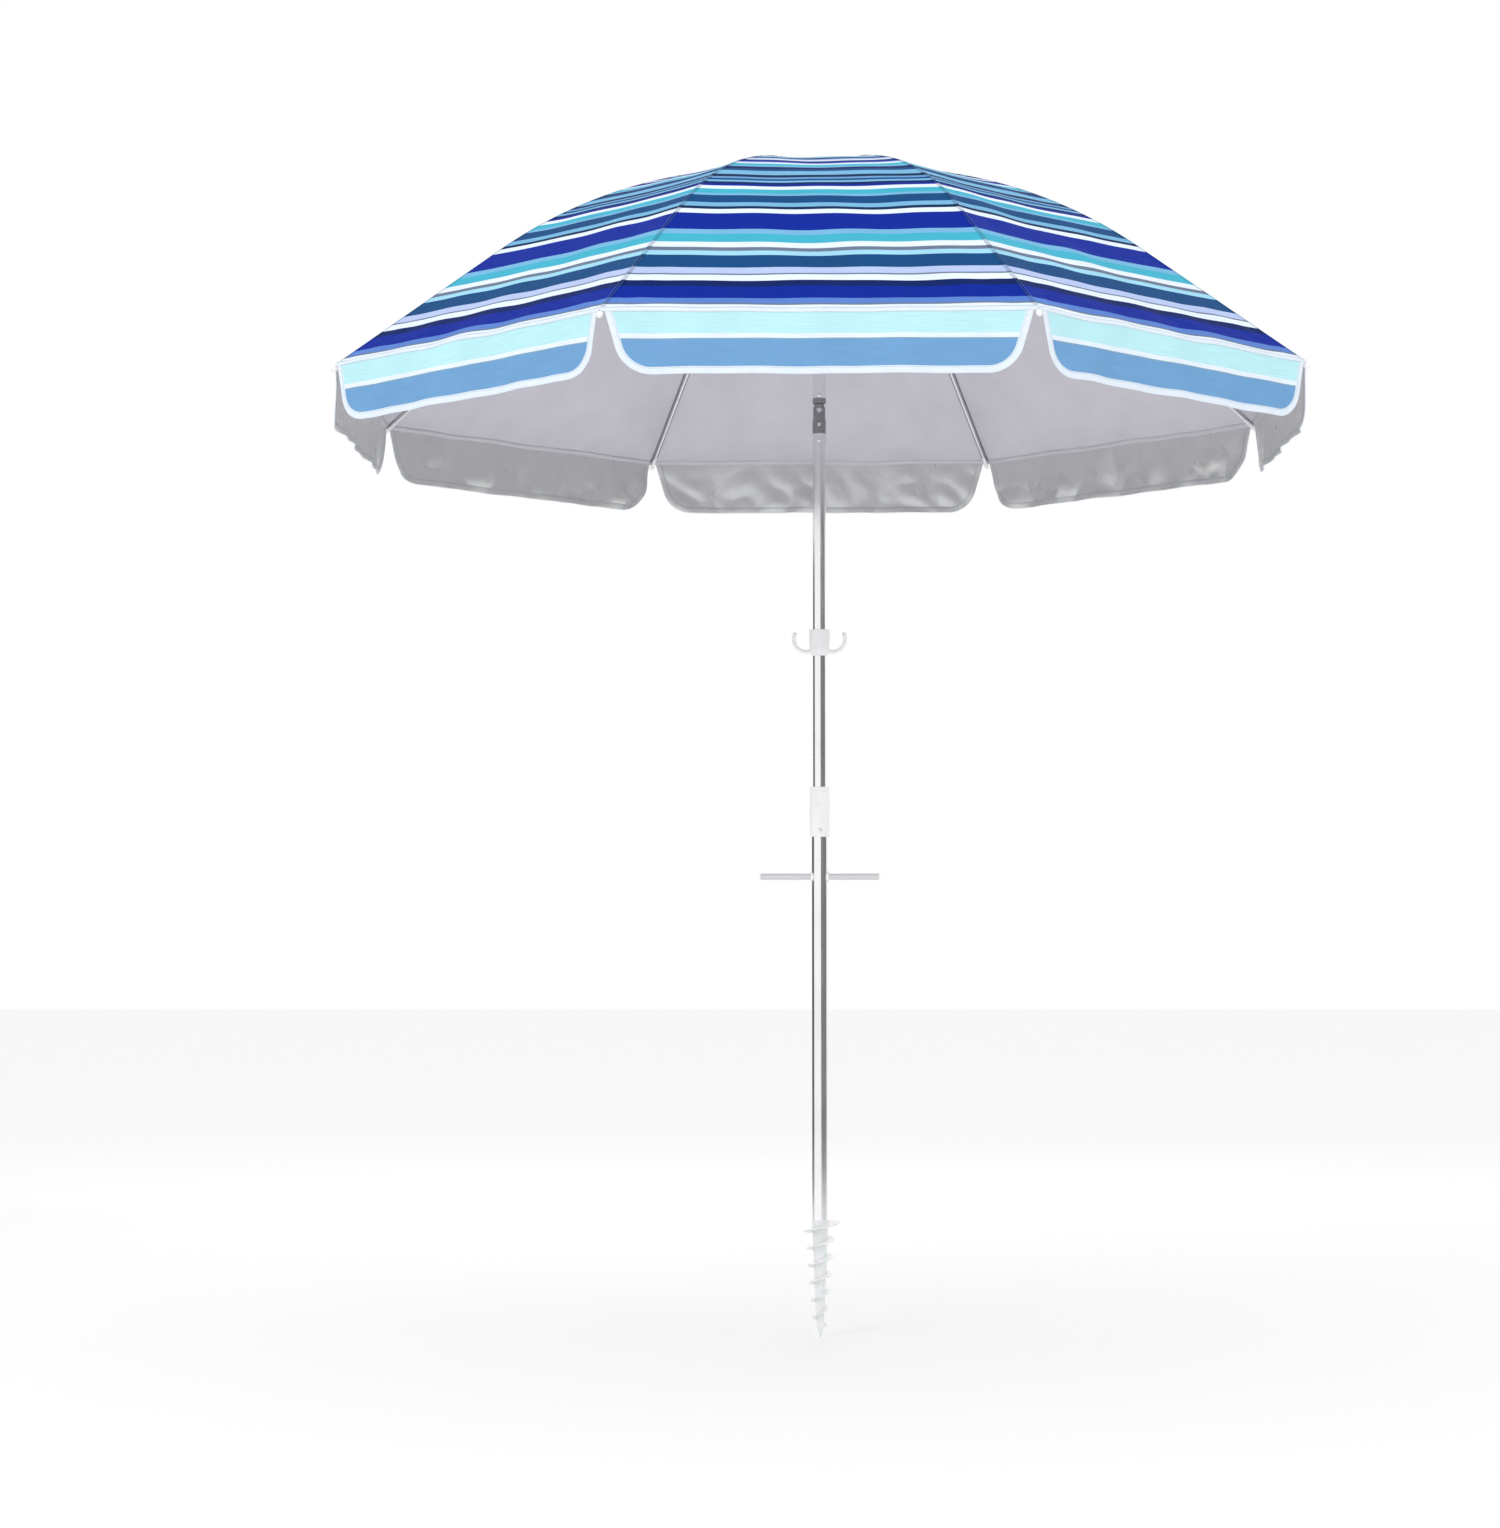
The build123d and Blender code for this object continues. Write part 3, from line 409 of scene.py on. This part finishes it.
# ---- materials --------------------------------------------------------------------
class Shader:
    """A Principled material with short ways to wire procedural detail into it."""

    def __init__(self, name, colour=(0.8, 0.8, 0.8, 1), **settings):
        self.material = bpy.data.materials.new(name)
        self.material.use_nodes = True
        self.tree = self.material.node_tree
        self.bsdf = self.tree.nodes["Principled BSDF"]
        self.bsdf.inputs["Base Color"].default_value = colour
        for label, value in settings.items():
            self.bsdf.inputs[label.replace("_", " ").title().replace("Ior", "IOR")].default_value = value

    def node(self, kind, inputs=None, **settings):
        made = self.tree.nodes.new("ShaderNode" + kind)
        for label, value in settings.items():
            setattr(made, label, value)
        for label, value in (inputs or {}).items():
            if isinstance(value, bpy.types.NodeSocket):
                self.tree.links.new(value, made.inputs[label])
            else:
                made.inputs[label].default_value = value
        return made

    def into(self, label, socket):
        self.tree.links.new(socket, self.bsdf.inputs[label])

    def maths(self, operation, a, b=0.0, c=0.0):
        made = self.node("Math", operation=operation)
        for slot, value in zip(made.inputs, (a, b, c)):
            if isinstance(value, bpy.types.NodeSocket):
                self.tree.links.new(value, slot)
            else:
                slot.default_value = value
        return made.outputs[0]

    def weave(self, axis):
        """The distance in metres along the cloth's u or v."""
        return self.node("Attribute", attribute_name=f"weave_{axis}").outputs["Fac"]

    def weave_place(self, scale_u, scale_v):
        """The cloth's own coordinates as a vector, scaled each way."""
        u, v = self.weave("u"), self.weave("v")
        scaled = {"X": self.maths("MULTIPLY", u, scale_u), "Y": self.maths("MULTIPLY", v, scale_v)}
        return self.node("CombineXYZ", scaled).outputs[0]

    def solid_place(self, scale):
        place = self.node("TexCoord").outputs["Object"]
        return self.node("Mapping", {"Vector": place, "Scale": scale}).outputs[0]

    def noise(self, place, scale=1.0, detail=2.0, **settings):
        inputs = {"Vector": place, "Scale": scale, "Detail": detail}
        return self.node("TexNoise", inputs, **settings).outputs["Fac"]

    def spread(self, socket, low, high):
        """A noise's usual range, 0.3 to 0.7, turned into low to high."""
        inputs = {"Value": socket, "From Min": 0.3, "From Max": 0.7, "To Min": low, "To Max": high}
        return self.node("MapRange", inputs).outputs["Result"]

    def stripe(self):
        """The colour that the mesh gives each face."""
        return self.node("Attribute", attribute_name="stripe").outputs["Color"]

    def tone(self, colour):
        made = self.node("RGB")
        made.outputs[0].default_value = colour
        return made.outputs[0]

    def bump(self, *layers):
        """Stacks bumps of (height socket, strength, distance)."""
        last = None
        for level, strength, distance in layers:
            inputs = {"Height": level, "Strength": strength, "Distance": distance}
            if last is not None:
                inputs["Normal"] = last
            last = self.node("Bump", inputs).outputs["Normal"]
        self.into("Normal", last)

    def tint(self, colour, factor):
        """colour times a grey factor."""
        made = self.node("VectorMath", {0: colour, "Scale": factor}, operation="SCALE")
        return made.outputs[0]


THREADS_PER_M, TAPE_RIBS_PER_M = 1500, 1400


def woven(shader):
    """Height of a plain weave: over and under threads in turn."""
    place = shader.weave_place(THREADS_PER_M * 2 * pi, THREADS_PER_M * 2 * pi)
    parts = shader.node("SeparateXYZ", {"Vector": place})
    across, along = (shader.maths("SINE", parts.outputs[i]) for i in (0, 1))
    return shader.maths("MULTIPLY", across, along)


def striped_cloth():
    """Matt printed polyester: stripes from the mesh, yarn streaks, weave and soft waves."""
    made = Shader("striped_polyester", specular_ior_level=0.06)
    yarn = made.noise(made.weave_place(900, 16), detail=3)
    patchy = made.noise(made.weave_place(9, 9), detail=3)
    shade = made.maths("MULTIPLY", made.spread(yarn, 0.93, 1.06), made.spread(patchy, 0.96, 1.04))
    made.into("Base Color", made.tint(made.stripe(), shade))
    made.into("Roughness", made.spread(yarn, 0.6, 0.78))
    soft = made.noise(made.weave_place(28, 28), detail=2)
    made.bump((woven(made), 0.25, 0.08 * MM), (yarn, 0.2, 0.1 * MM), (soft, 0.5, 1.4 * MM))
    return made.material


def silver_lining():
    """The silver sun coating on the back of the cloth."""
    made = Shader("silver_coating", metallic=0.35, roughness=0.42)
    fine = made.noise(made.weave_place(700, 700), detail=2)
    wide = made.noise(made.weave_place(14, 14), detail=4)
    crease = made.noise(made.weave_place(24, 24), detail=3, noise_type="RIDGED_MULTIFRACTAL")
    shade = made.maths("MULTIPLY", made.spread(wide, 0.95, 1.05), made.spread(fine, 0.96, 1.03))
    made.into("Base Color", made.tint(made.tone((0.575, 0.56, 0.615, 1)), shade))
    made.into("Roughness", made.spread(wide, 0.34, 0.5))
    made.bump((woven(made), 0.3, 0.06 * MM), (crease, 0.05, 0.5 * MM), (wide, 0.3, 2.0 * MM))
    return made.material


def crumpled_lining():
    """The same coating on the valance, which hangs free and stays creased and shiny."""
    made = Shader("silver_valance", (0.66, 0.67, 0.67, 1), metallic=0.55, roughness=0.34)
    fold = made.noise(made.weave_place(22, 30), detail=2)
    made.into("Roughness", made.spread(fold, 0.26, 0.42))
    made.bump((woven(made), 0.3, 0.06 * MM), (fold, 0.35, 4.0 * MM))
    return made.material


def tape():
    """White polyester binding with cross ribs."""
    made = Shader("white_tape", roughness=0.7)
    soil = made.noise(made.weave_place(60, 60), detail=4)
    made.into("Base Color", made.tint(made.stripe(), made.spread(soil, 0.95, 1.01)))
    ribbed = made.maths("SINE", made.maths("MULTIPLY", made.weave("u"), TAPE_RIBS_PER_M * 2 * pi))
    made.bump((ribbed, 0.35, 0.1 * MM), (soil, 0.3, 0.5 * MM))
    return made.material


def thread():
    """Spun polyester thread."""
    made = Shader("thread", roughness=0.7, sheen_weight=0.4)
    fuzz = made.noise(made.solid_place((1, 1, 1)), 1800, 2)
    made.into("Base Color", made.tint(made.stripe(), made.spread(fuzz, 0.88, 1.05)))
    made.bump((fuzz, 0.4, 0.1 * MM))
    return made.material


def patch_cloth():
    """The crown patch: the same cloth cut across its stripes."""
    made = Shader("patch_polyester", roughness=0.52, sheen_weight=0.25)
    place = made.node("TexCoord").outputs["Object"]
    across = made.node("SeparateXYZ", {"Vector": place}).outputs["Y"]
    low, high = -PATCH_R / MM - 2, PATCH_STRIPES[-1][0]  # a little wider than the patch
    span = {"Value": across, "From Min": low * MM, "From Max": high * MM}
    ramp = made.node("ValToRGB", {"Fac": made.node("MapRange", span).outputs["Result"]})
    ramp.color_ramp.interpolation = "CONSTANT"
    starts = [low] + [mm for mm, _ in PATCH_STRIPES[:-1]]
    stops = ramp.color_ramp.elements
    for i, (start, (_, name)) in enumerate(zip(starts, PATCH_STRIPES)):
        stop = stops[i] if i < 2 else stops.new(0.5)
        stop.position = (start - low) / (high - low)
        stop.color = linear(name)
    yarn = made.noise(made.solid_place((16, 900, 16)), 1.0, 3)
    made.into("Base Color", made.tint(ramp.outputs["Color"], made.spread(yarn, 0.93, 1.05)))
    made.bump((yarn, 0.3, 0.1 * MM))
    return made.material


def moulded(name, colour, roughness=0.36, **settings):
    """Injection-moulded plastic: faint spark texture, soft mottling and flow marks."""
    made = Shader(name, colour, roughness=roughness, **settings)
    grain = made.noise(made.solid_place((1, 1, 1)), 1400, 2)
    cloud = made.noise(made.solid_place((1, 1, 0.4)), 55, 4)
    made.into("Base Color", made.tint(made.tone(colour), made.spread(cloud, 0.96, 1.02)))
    made.into("Roughness", made.spread(cloud, roughness - 0.05, roughness + 0.08))
    made.bump((grain, 0.12, 0.06 * MM), (cloud, 0.15, 0.3 * MM))
    return made.material


def drawn_steel(name, colour, roughness, streak=0.12, **settings):
    """Drawn metal: fine streaks along the tube, with a little wear in the gloss."""
    made = Shader(name, colour, metallic=1.0, roughness=roughness, **settings)
    lines = made.noise(made.solid_place((700, 700, 2.5)), 1.0, 3)
    worn = made.noise(made.solid_place((1, 1, 0.25)), 30, 4)
    made.into("Base Color", made.tint(made.tone(colour), made.spread(worn, 0.94, 1.04)))
    made.into("Roughness", made.maths("ADD", made.spread(lines, roughness - 0.03, roughness + 0.05),
                                      made.spread(worn, -0.02, 0.04)))
    made.bump((lines, streak, 0.05 * MM))
    return made.material


def painted(name, colour, roughness, speckle=0.0):
    """Powder coat: orange peel, and specks that are paler by speckle."""
    made = Shader(name, colour, roughness=roughness, metallic=0.2)
    peel = made.noise(made.solid_place((1, 1, 1)), 620, 2)
    cells = made.node("TexVoronoi", {"Vector": made.solid_place((1, 1, 1)), "Scale": 420.0})
    dots = made.maths("LESS_THAN", cells.outputs["Distance"], 0.22)
    shade = made.maths("ADD", made.spread(peel, 0.9, 1.08), made.maths("MULTIPLY", dots, speckle))
    made.into("Base Color", made.tint(made.tone(colour), shade))
    made.into("Roughness", made.spread(peel, roughness - 0.06, roughness + 0.08))
    made.bump((peel, 0.25, 0.12 * MM))
    return made.material


STRIPED, LINING, CRUMPLED = striped_cloth(), silver_lining(), crumpled_lining()
TAPE, THREAD = tape(), thread()
FINISHES = {
    "screw_plastic": moulded("screw_nylon", (0.80, 0.82, 0.82, 1), 0.3,
                             subsurface_weight=0.35, subsurface_scale=0.004),
    "steel_tube": drawn_steel("chromed_tube", (0.92, 0.92, 0.93, 1), 0.15),
    "white_plastic": moulded("white_plastic", (0.90, 0.91, 0.91, 1), 0.36,
                             subsurface_weight=0.08, subsurface_scale=0.002),
    "rivet_steel": drawn_steel("rivet_steel", (0.82, 0.82, 0.83, 1), 0.2),
    "spring_steel": drawn_steel("spring_steel", (0.55, 0.55, 0.57, 1), 0.3),
    "bar_paint": painted("bar_paint", (0.66, 0.67, 0.68, 1), 0.38),
    "tilt_metal": painted("tilt_metal", (0.22, 0.22, 0.235, 1), 0.42, speckle=1.4),
    "rib_steel": drawn_steel("rib_steel", (0.86, 0.86, 0.88, 1), 0.42, 0.2),
    "striped_cloth": patch_cloth(),
}
for part in frame["record"]["subparts"]:
    node = frame["nodes"][part["node"]]
    for holder in node.material_slots:
        holder.material = FINISHES[part["material_slot"]]


# ---- canopy pieces ------------------------------------------------------------------
LAID_STRIPES = on_cloth(PANEL_STRIPES)
PANEL_ROWS = rows_between(INNER_D, LAID_STRIPES[:-1] + [(APOTHEM / MM, "white")], 12 * MM)
PANEL_COLUMNS = np.linspace(0, 1, 23) ** 1.3
FLAP_ROWS = rows_between(0, VALANCE_STRIPES[:-1] + [(VALANCE_DEPTH / MM, "white")], 5 * MM)
FLAP_COLUMNS = np.linspace(0, 1, 61)


def middles(rows):
    """The middle of each step between rows."""
    return (rows[1:] + rows[:-1]) / 2


def ride_rib(piece, k):
    """The piece swings with rib k."""
    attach(piece, f"rib_{k}")
    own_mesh(piece)


def sector_sides(k):
    """The two half panels that meet on rib k, as (panel number, sign of s towards the rib)."""
    return ((k - 1, 1), (k % RIBS, -1))


def canopy_cloth(k):
    """The two half panels that are sewn together over rib k."""
    cloth = Cloth()
    colours = stripe_colours(middles(PANEL_ROWS), LAID_STRIPES)
    for j, sign in sector_sides(k):
        d = np.repeat(PANEL_ROWS[:, None], len(PANEL_COLUMNS), 1)
        s = sign * d * WIDEN * (1 - PANEL_COLUMNS[None, :])
        points, normals = panel_surface(j, d, s)
        add_sheet(cloth, points, normals, np.stack([d, s], -1), colours)
    return cloth.build(f"canopy_cloth_{k}", [STRIPED, LINING])


def valance(k):
    """The two half flaps beside rib k."""
    cloth = Cloth()
    colours = stripe_colours(middles(FLAP_ROWS), VALANCE_STRIPES)
    for j, sign in sector_sides(k):
        h = np.repeat(FLAP_ROWS[:, None], len(FLAP_COLUMNS), 1)
        s = sign * flap_edge(h) * FLAP_COLUMNS[None, :]
        points, normals = flap_surface(j, s, h)
        add_sheet(cloth, points, normals, np.stack([h, s], -1), colours)
    return cloth.build(f"valance_{k}", [STRIPED, CRUMPLED])


def flap_outline():
    """Half the valance's edge from the middle of its foot to the rim, and its outward normals."""
    foot = [(s, VALANCE_DEPTH) for s in np.linspace(0, CORNER_S, 36)]
    turns = np.linspace(0, pi / 2 - slope, 14)[1:]
    arc = [(CORNER_S + VALANCE_CORNER * sin(t), CORNER_H + VALANCE_CORNER * cos(t)) for t in turns]
    side = [(VALANCE_TOP - h * tan(slope), h) for h in np.linspace(CORNER_START_H, 0, 9)[1:]]
    normals = [(0, 1)] * len(foot) + [(sin(t), cos(t)) for t in turns]
    normals += [(cos(slope), sin(slope))] * len(side)
    return np.array(foot + arc + side), np.array(normals)


def plain(name, faces):
    """One colour for all of a strip's faces."""
    return np.repeat(np.array([linear(name)]), faces, axis=0)


def edge_points(j, sign, place):
    """Points and normals of a half flap at places (s, h) along its edge."""
    return flap_surface(j, sign * place[:, 0], np.maximum(place[:, 1], 0))


TAPE_SECTION = [  # distance in from the edge and lift off the cloth, round the folded tape
    (BINDING_W, 0.55 * MM), (BINDING_W * 0.9, 0.95 * MM), (1.2 * MM, 1.05 * MM), (-0.4 * MM, 0.75 * MM),
    (-0.9 * MM, 0), (-0.4 * MM, -0.75 * MM), (1.2 * MM, -1.05 * MM), (BINDING_W * 0.9, -0.95 * MM),
    (BINDING_W, -0.55 * MM),
]


def binding(k):
    """White tape folded over the edge of both half flaps."""
    cloth = Cloth()
    outline, outward = flap_outline()
    run = np.concatenate([[0], np.cumsum(np.linalg.norm(np.diff(outline, axis=0), axis=1))])
    for j, sign in sector_sides(k):
        loop, weave = [], []
        for inset, lift in TAPE_SECTION:
            points, normals = edge_points(j, sign, outline - outward * inset)
            loop.append(points + normals * lift)
            weave.append(np.stack([run, np.full_like(run, inset)], -1))
        white = plain("white", len(outline) - 1)
        add_ribbon(cloth, np.stack(loop, 1), white, np.stack(weave, 1), lined=(5, 6, 7, 8))
    piece = cloth.build(f"valance_binding_{k}", [TAPE, CRUMPLED])
    outward_faces(piece)
    return piece


HEM_WIDTH = 7 * MM


def hem(k):
    """The rolled white hem that joins the panels to the valance."""
    cloth = Cloth()
    reach = APOTHEM * WIDEN
    for j, sign in sector_sides(k):
        s = sign * np.linspace(0, reach, 40)
        out, z_up = np.array([cos(j * STEP), sin(j * STEP), 0]), np.array([0, 0, 1])
        rim = np.full_like(s, APOTHEM)
        top, top_n = panel_surface(j, rim - HEM_WIDTH, s)
        near, near_n = panel_surface(j, rim - 1.5 * MM, s)
        edge = panel_point(j, rim, s)
        below = flap_point(j, s, np.full_like(s, 3 * MM))
        ring = [
            top + top_n * 0.3 * MM, top + top_n * 0.85 * MM, near + near_n * 1.3 * MM,
            edge + out * 1.3 * MM + z_up * 0.5 * MM, below + out * 1.0 * MM, below - out * 1.0 * MM,
            near - near_n * 1.2 * MM, top - top_n * 0.6 * MM,
        ]
        weave = [np.stack([s, np.full_like(s, i * 2 * MM)], -1) for i in range(len(ring))]
        white = plain("white", len(s) - 1)
        add_ribbon(cloth, np.stack(ring, 1), white, np.stack(weave, 1), lined=(4, 5, 6, 7))
    piece = cloth.build(f"rim_hem_{k}", [TAPE, LINING])
    outward_faces(piece)
    return piece


SEAM_HALF, SEAM_LIFT = 4.5 * MM, 0.9 * MM
# painted shade: this factor darkens the seam's stripe colours to stand for the shade of the raised seam
SEAM_PAINTED_SHADE = 0.72  # the felled seam looks darker than the cloth beside it
SEAM_SINK = 0.3 * MM  # its sides run into the cloth
SEAM_START = 40 * MM  # under the crown patch
SEAM_SECTION = ((1.0, 0.25), (0.9, 0.9), (0.35, 1.15))  # shares of its half width and lift
# the overlocked edge strips beside the rib, coloured dark grey as painted shadow
OVERLOCK_SHADOW_SECTION = ((4.6, -0.2), (4.8, 0.5), (6.4, 0.5), (6.6, -0.2))  # mm from the rib, mm below


def rib_seam(k):
    """The felled seam over rib k, raised outside and darkened as painted shade, with an overlocked edge
    each side inside coloured dark grey as painted shadow.
    """
    cloth = Cloth()
    sides = sector_sides(k)
    rows = PANEL_ROWS[PANEL_ROWS > SEAM_START]
    run = np.stack([rows, rows * 0], -1)
    ring = []
    for (j, sign), section in zip(sides, (SEAM_SECTION, SEAM_SECTION[::-1])):
        for inset, lift in section:
            points, normals = panel_surface(j, rows, sign * (rows * WIDEN - SEAM_HALF * inset))
            ring.append(points + normals * (CLOTH_T / 2 + SEAM_LIFT * lift - SEAM_SINK))
    j, sign = sides[-1]
    ring.append(panel_point(j, rows, sign * rows * WIDEN))
    # painted shade: the seam takes the stripe colours darkened by the factor above
    colours = stripe_colours(middles(rows), LAID_STRIPES) * SEAM_PAINTED_SHADE
    add_ribbon(cloth, np.stack(ring, 1), colours, np.stack([run] * len(ring), 1))
    for j, sign in sides:
        edge = []
        for inset, drop in OVERLOCK_SHADOW_SECTION:
            points, normals = panel_surface(j, rows, sign * (rows * WIDEN - inset * MM))
            edge.append(points - normals * (CLOTH_T / 2 + drop * MM))
        # painted shadow: the overlocked edges take the dark grey shadow colour for the shade beside the rib
        shadow = plain("shadow", len(rows) - 1)
        add_ribbon(cloth, np.stack(edge, 1), shadow, np.stack([run] * len(edge), 1))
    piece = cloth.build(f"rib_seam_{k}", [STRIPED])
    outward_faces(piece)
    return piece


def stitching(k):
    """Twin rows down the rib seam, one along the hem and one each side of the binding."""
    cloth = Cloth()
    outline, outward = flap_outline()
    rows = np.linspace(SEAM_START + 5 * MM, APOTHEM - 6 * MM, 500)
    for j, sign in sector_sides(k):
        points, normals = panel_surface(j, rows, sign * (rows * WIDEN - SEAM_HALF * 0.62))
        add_stitches(cloth, points + normals * (CLOTH_T / 2 + SEAM_LIFT * 0.8), normals, "sky")
        s = sign * np.linspace(2 * MM, APOTHEM * WIDEN - 4 * MM, 160)
        points, normals = panel_surface(j, np.full_like(s, APOTHEM - 5 * MM), s)
        add_stitches(cloth, points + normals * 1.15 * MM, normals, "mist")
        points, normals = edge_points(j, sign, outline - outward * BINDING_W * 0.8)
        for face in (1, -1):
            add_stitches(cloth, points + normals * face * 1.0 * MM, normals * face, "mist")
    piece = cloth.build(f"canopy_stitches_{k}", [THREAD])
    outward_faces(piece)
    return piece


for k in range(1, RIBS + 1):
    seam, trim, edge, threads = rib_seam(k), hem(k), binding(k), stitching(k)
    cover, flap = canopy_cloth(k), valance(k)
    for piece in (seam, trim, edge, threads, cover, flap):
        ride_rib(piece, k)
    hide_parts(f"canopy_sector_{k}")


# ---- crown patch ------------------------------------------------------------------
PATCH_DROP = 1.3 * MM  # the patch's very edge turns down this far
PATCH_WAVE = 0.35 * MM  # it dips between the ribs
PATCH_SEWN_R = 49.5 * MM


def patch_point(radius, turn, lift):
    """A point of the crown's cone, lift above it."""
    z = CROWN_Z - crest * cos(HALF) * radius + PATCH_LIFT + lift
    return np.stack([radius * np.cos(turn), radius * np.sin(turn), z], -1)


def crown_patch():
    """A round patch draped over the seams at the top, with a turned and stitched edge."""
    flat_rings = np.linspace(PATCH_HOLE, PATCH_R - PATCH_FOLD, 16)
    rings = np.concatenate([flat_rings, [PATCH_R - 1 * MM, PATCH_R]])
    turns = np.linspace(0, 2 * pi, 97)[:-1]
    radius, turn = np.meshgrid(rings, turns, indexing="ij")
    wave = PATCH_WAVE * np.cos(RIBS * (turn - HALF)) * (radius / PATCH_R) ** 2
    folded = np.where(radius > PATCH_R - PATCH_FOLD + 0.1 * MM, 0.5 * MM, 0)
    dropped = np.where(radius > PATCH_R - 0.1 * MM, PATCH_DROP, 0)
    top = patch_point(radius, turn, wave + folded - dropped)
    under = top - [0, 0, 0.7 * MM]
    rows, around = radius.shape
    index = np.arange(rows * around).reshape(rows, around)
    a, b = index[:-1], index[1:]
    sheet = np.stack([a, b, np.roll(b, -1, 1), np.roll(a, -1, 1)], -1).reshape(-1, 4)
    below = sheet[:, ::-1] + rows * around
    rims = []
    for ring, flip in ((index[0], False), (index[-1], True)):
        nxt = np.roll(ring, -1)
        quad = np.stack([ring, nxt, nxt + rows * around, ring + rows * around], -1)
        rims.append(quad[:, ::-1] if flip else quad)
    faces = np.concatenate([sheet, below, *rims])
    cloth = Cloth()
    place = np.concatenate([top.reshape(-1, 3), under.reshape(-1, 3)])
    cloth.add(place, faces, 0, plain("white", len(faces)), place[:, :2])
    piece = cloth.build("crown_patch_cloth", [FINISHES["striped_cloth"]])
    outward_faces(piece)
    sewn = Cloth()
    turn = np.linspace(0, 2 * pi, 200)
    path = patch_point(np.full_like(turn, PATCH_SEWN_R), turn, PATCH_WAVE * np.cos(RIBS * (turn - HALF)))
    add_stitches(sewn, path, np.repeat([[0.0, 0.0, 1.0]], len(turn), axis=0), "mist")
    threads = sewn.build("crown_patch_stitches", [THREAD])
    outward_faces(threads)
    return piece, threads


patch, patch_threads = crown_patch()
for piece in (patch, patch_threads):
    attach(piece, "crown")
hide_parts("crown_patch")


# ---- camera, floor and light -------------------------------------------------------
CAMERA_AT = (0, -6.300, 0.483)
LENS_MM, SENSOR_MM = 79.77, 36
LOOK_UP, LOOK_LEFT = 3.28, 1.18  # degrees
camera_data = bpy.data.cameras.new("camera")
camera_data.lens, camera_data.sensor_width = LENS_MM, SENSOR_MM
camera = put_in_scene("camera", camera_data)
camera.location = CAMERA_AT
camera.rotation_euler = (radians(90 + LOOK_UP), 0, radians(LOOK_LEFT))
bpy.context.scene.camera = camera

FLOOR_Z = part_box("sand_anchor")[0].z
FLOOR_HALF = 40


def stage_quad(name, corners, colour_name, grey):
    """A matt grey quad that is part of the stage."""
    mesh = bpy.data.meshes.new(name)
    mesh.from_pydata(corners, [], [(0, 1, 2, 3)])
    mesh.materials.append(Shader(colour_name, (grey, grey, grey, 1), roughness=0.9).material)
    quad = put_in_scene(name, mesh)
    return quad


floor_corners = [(x * FLOOR_HALF, y * FLOOR_HALF, FLOOR_Z) for x, y in ((-1, -1), (1, -1), (1, 1), (-1, 1))]
stage_quad("floor", floor_corners, "pale_floor", 0.93)


def card(name, bearing, distance, width, tall, grey):
    """An upright card for the chromed tubes to reflect, which only glossy rays see."""
    middle = Vector((sin(bearing) * distance, cos(bearing) * distance, FLOOR_Z))
    side = Vector((cos(bearing), -sin(bearing), 0)) * width / 2
    up = Vector((0, 0, tall))
    corners = [middle - side, middle + side, middle + side + up, middle - side + up]
    upright = stage_quad(name, corners, name, grey)
    upright.visible_camera = upright.visible_diffuse = upright.visible_shadow = False


card("card_left", radians(-62), 3.4, 3.6, 1.9, 0.05)
card("card_right", radians(118), 3.4, 7.0, 2.1, 0.16)


def lamp(name, place, aim, size, power):
    """A soft square lamp at place that faces aim."""
    data = bpy.data.lights.new(name, "AREA")
    data.shape, data.size, data.energy = "SQUARE", size, power
    lit = put_in_scene(name, data)
    lit.location = place
    lit.rotation_euler = (Vector(aim) - Vector(place)).to_track_quat("-Z", "Y").to_euler()


lamp("key", (-3.2, -5.0, 5.2), (0, 0, 1.6), 3.0, 70)
lamp("fill", (4.2, -4.0, 3.2), (0, 0, 1.4), 3.0, 20)
lamp("rear", (0.5, 4.5, 4.0), (0, 0, 1.5), 3.0, 25)
world = bpy.data.worlds.new("studio")
world.use_nodes = True
world.node_tree.nodes["Background"].inputs["Color"].default_value = (1, 1, 1, 1)
world.node_tree.nodes["Background"].inputs["Strength"].default_value = 1.0
bpy.context.scene.world = world
bpy.context.scene.view_settings.view_transform = "Standard"
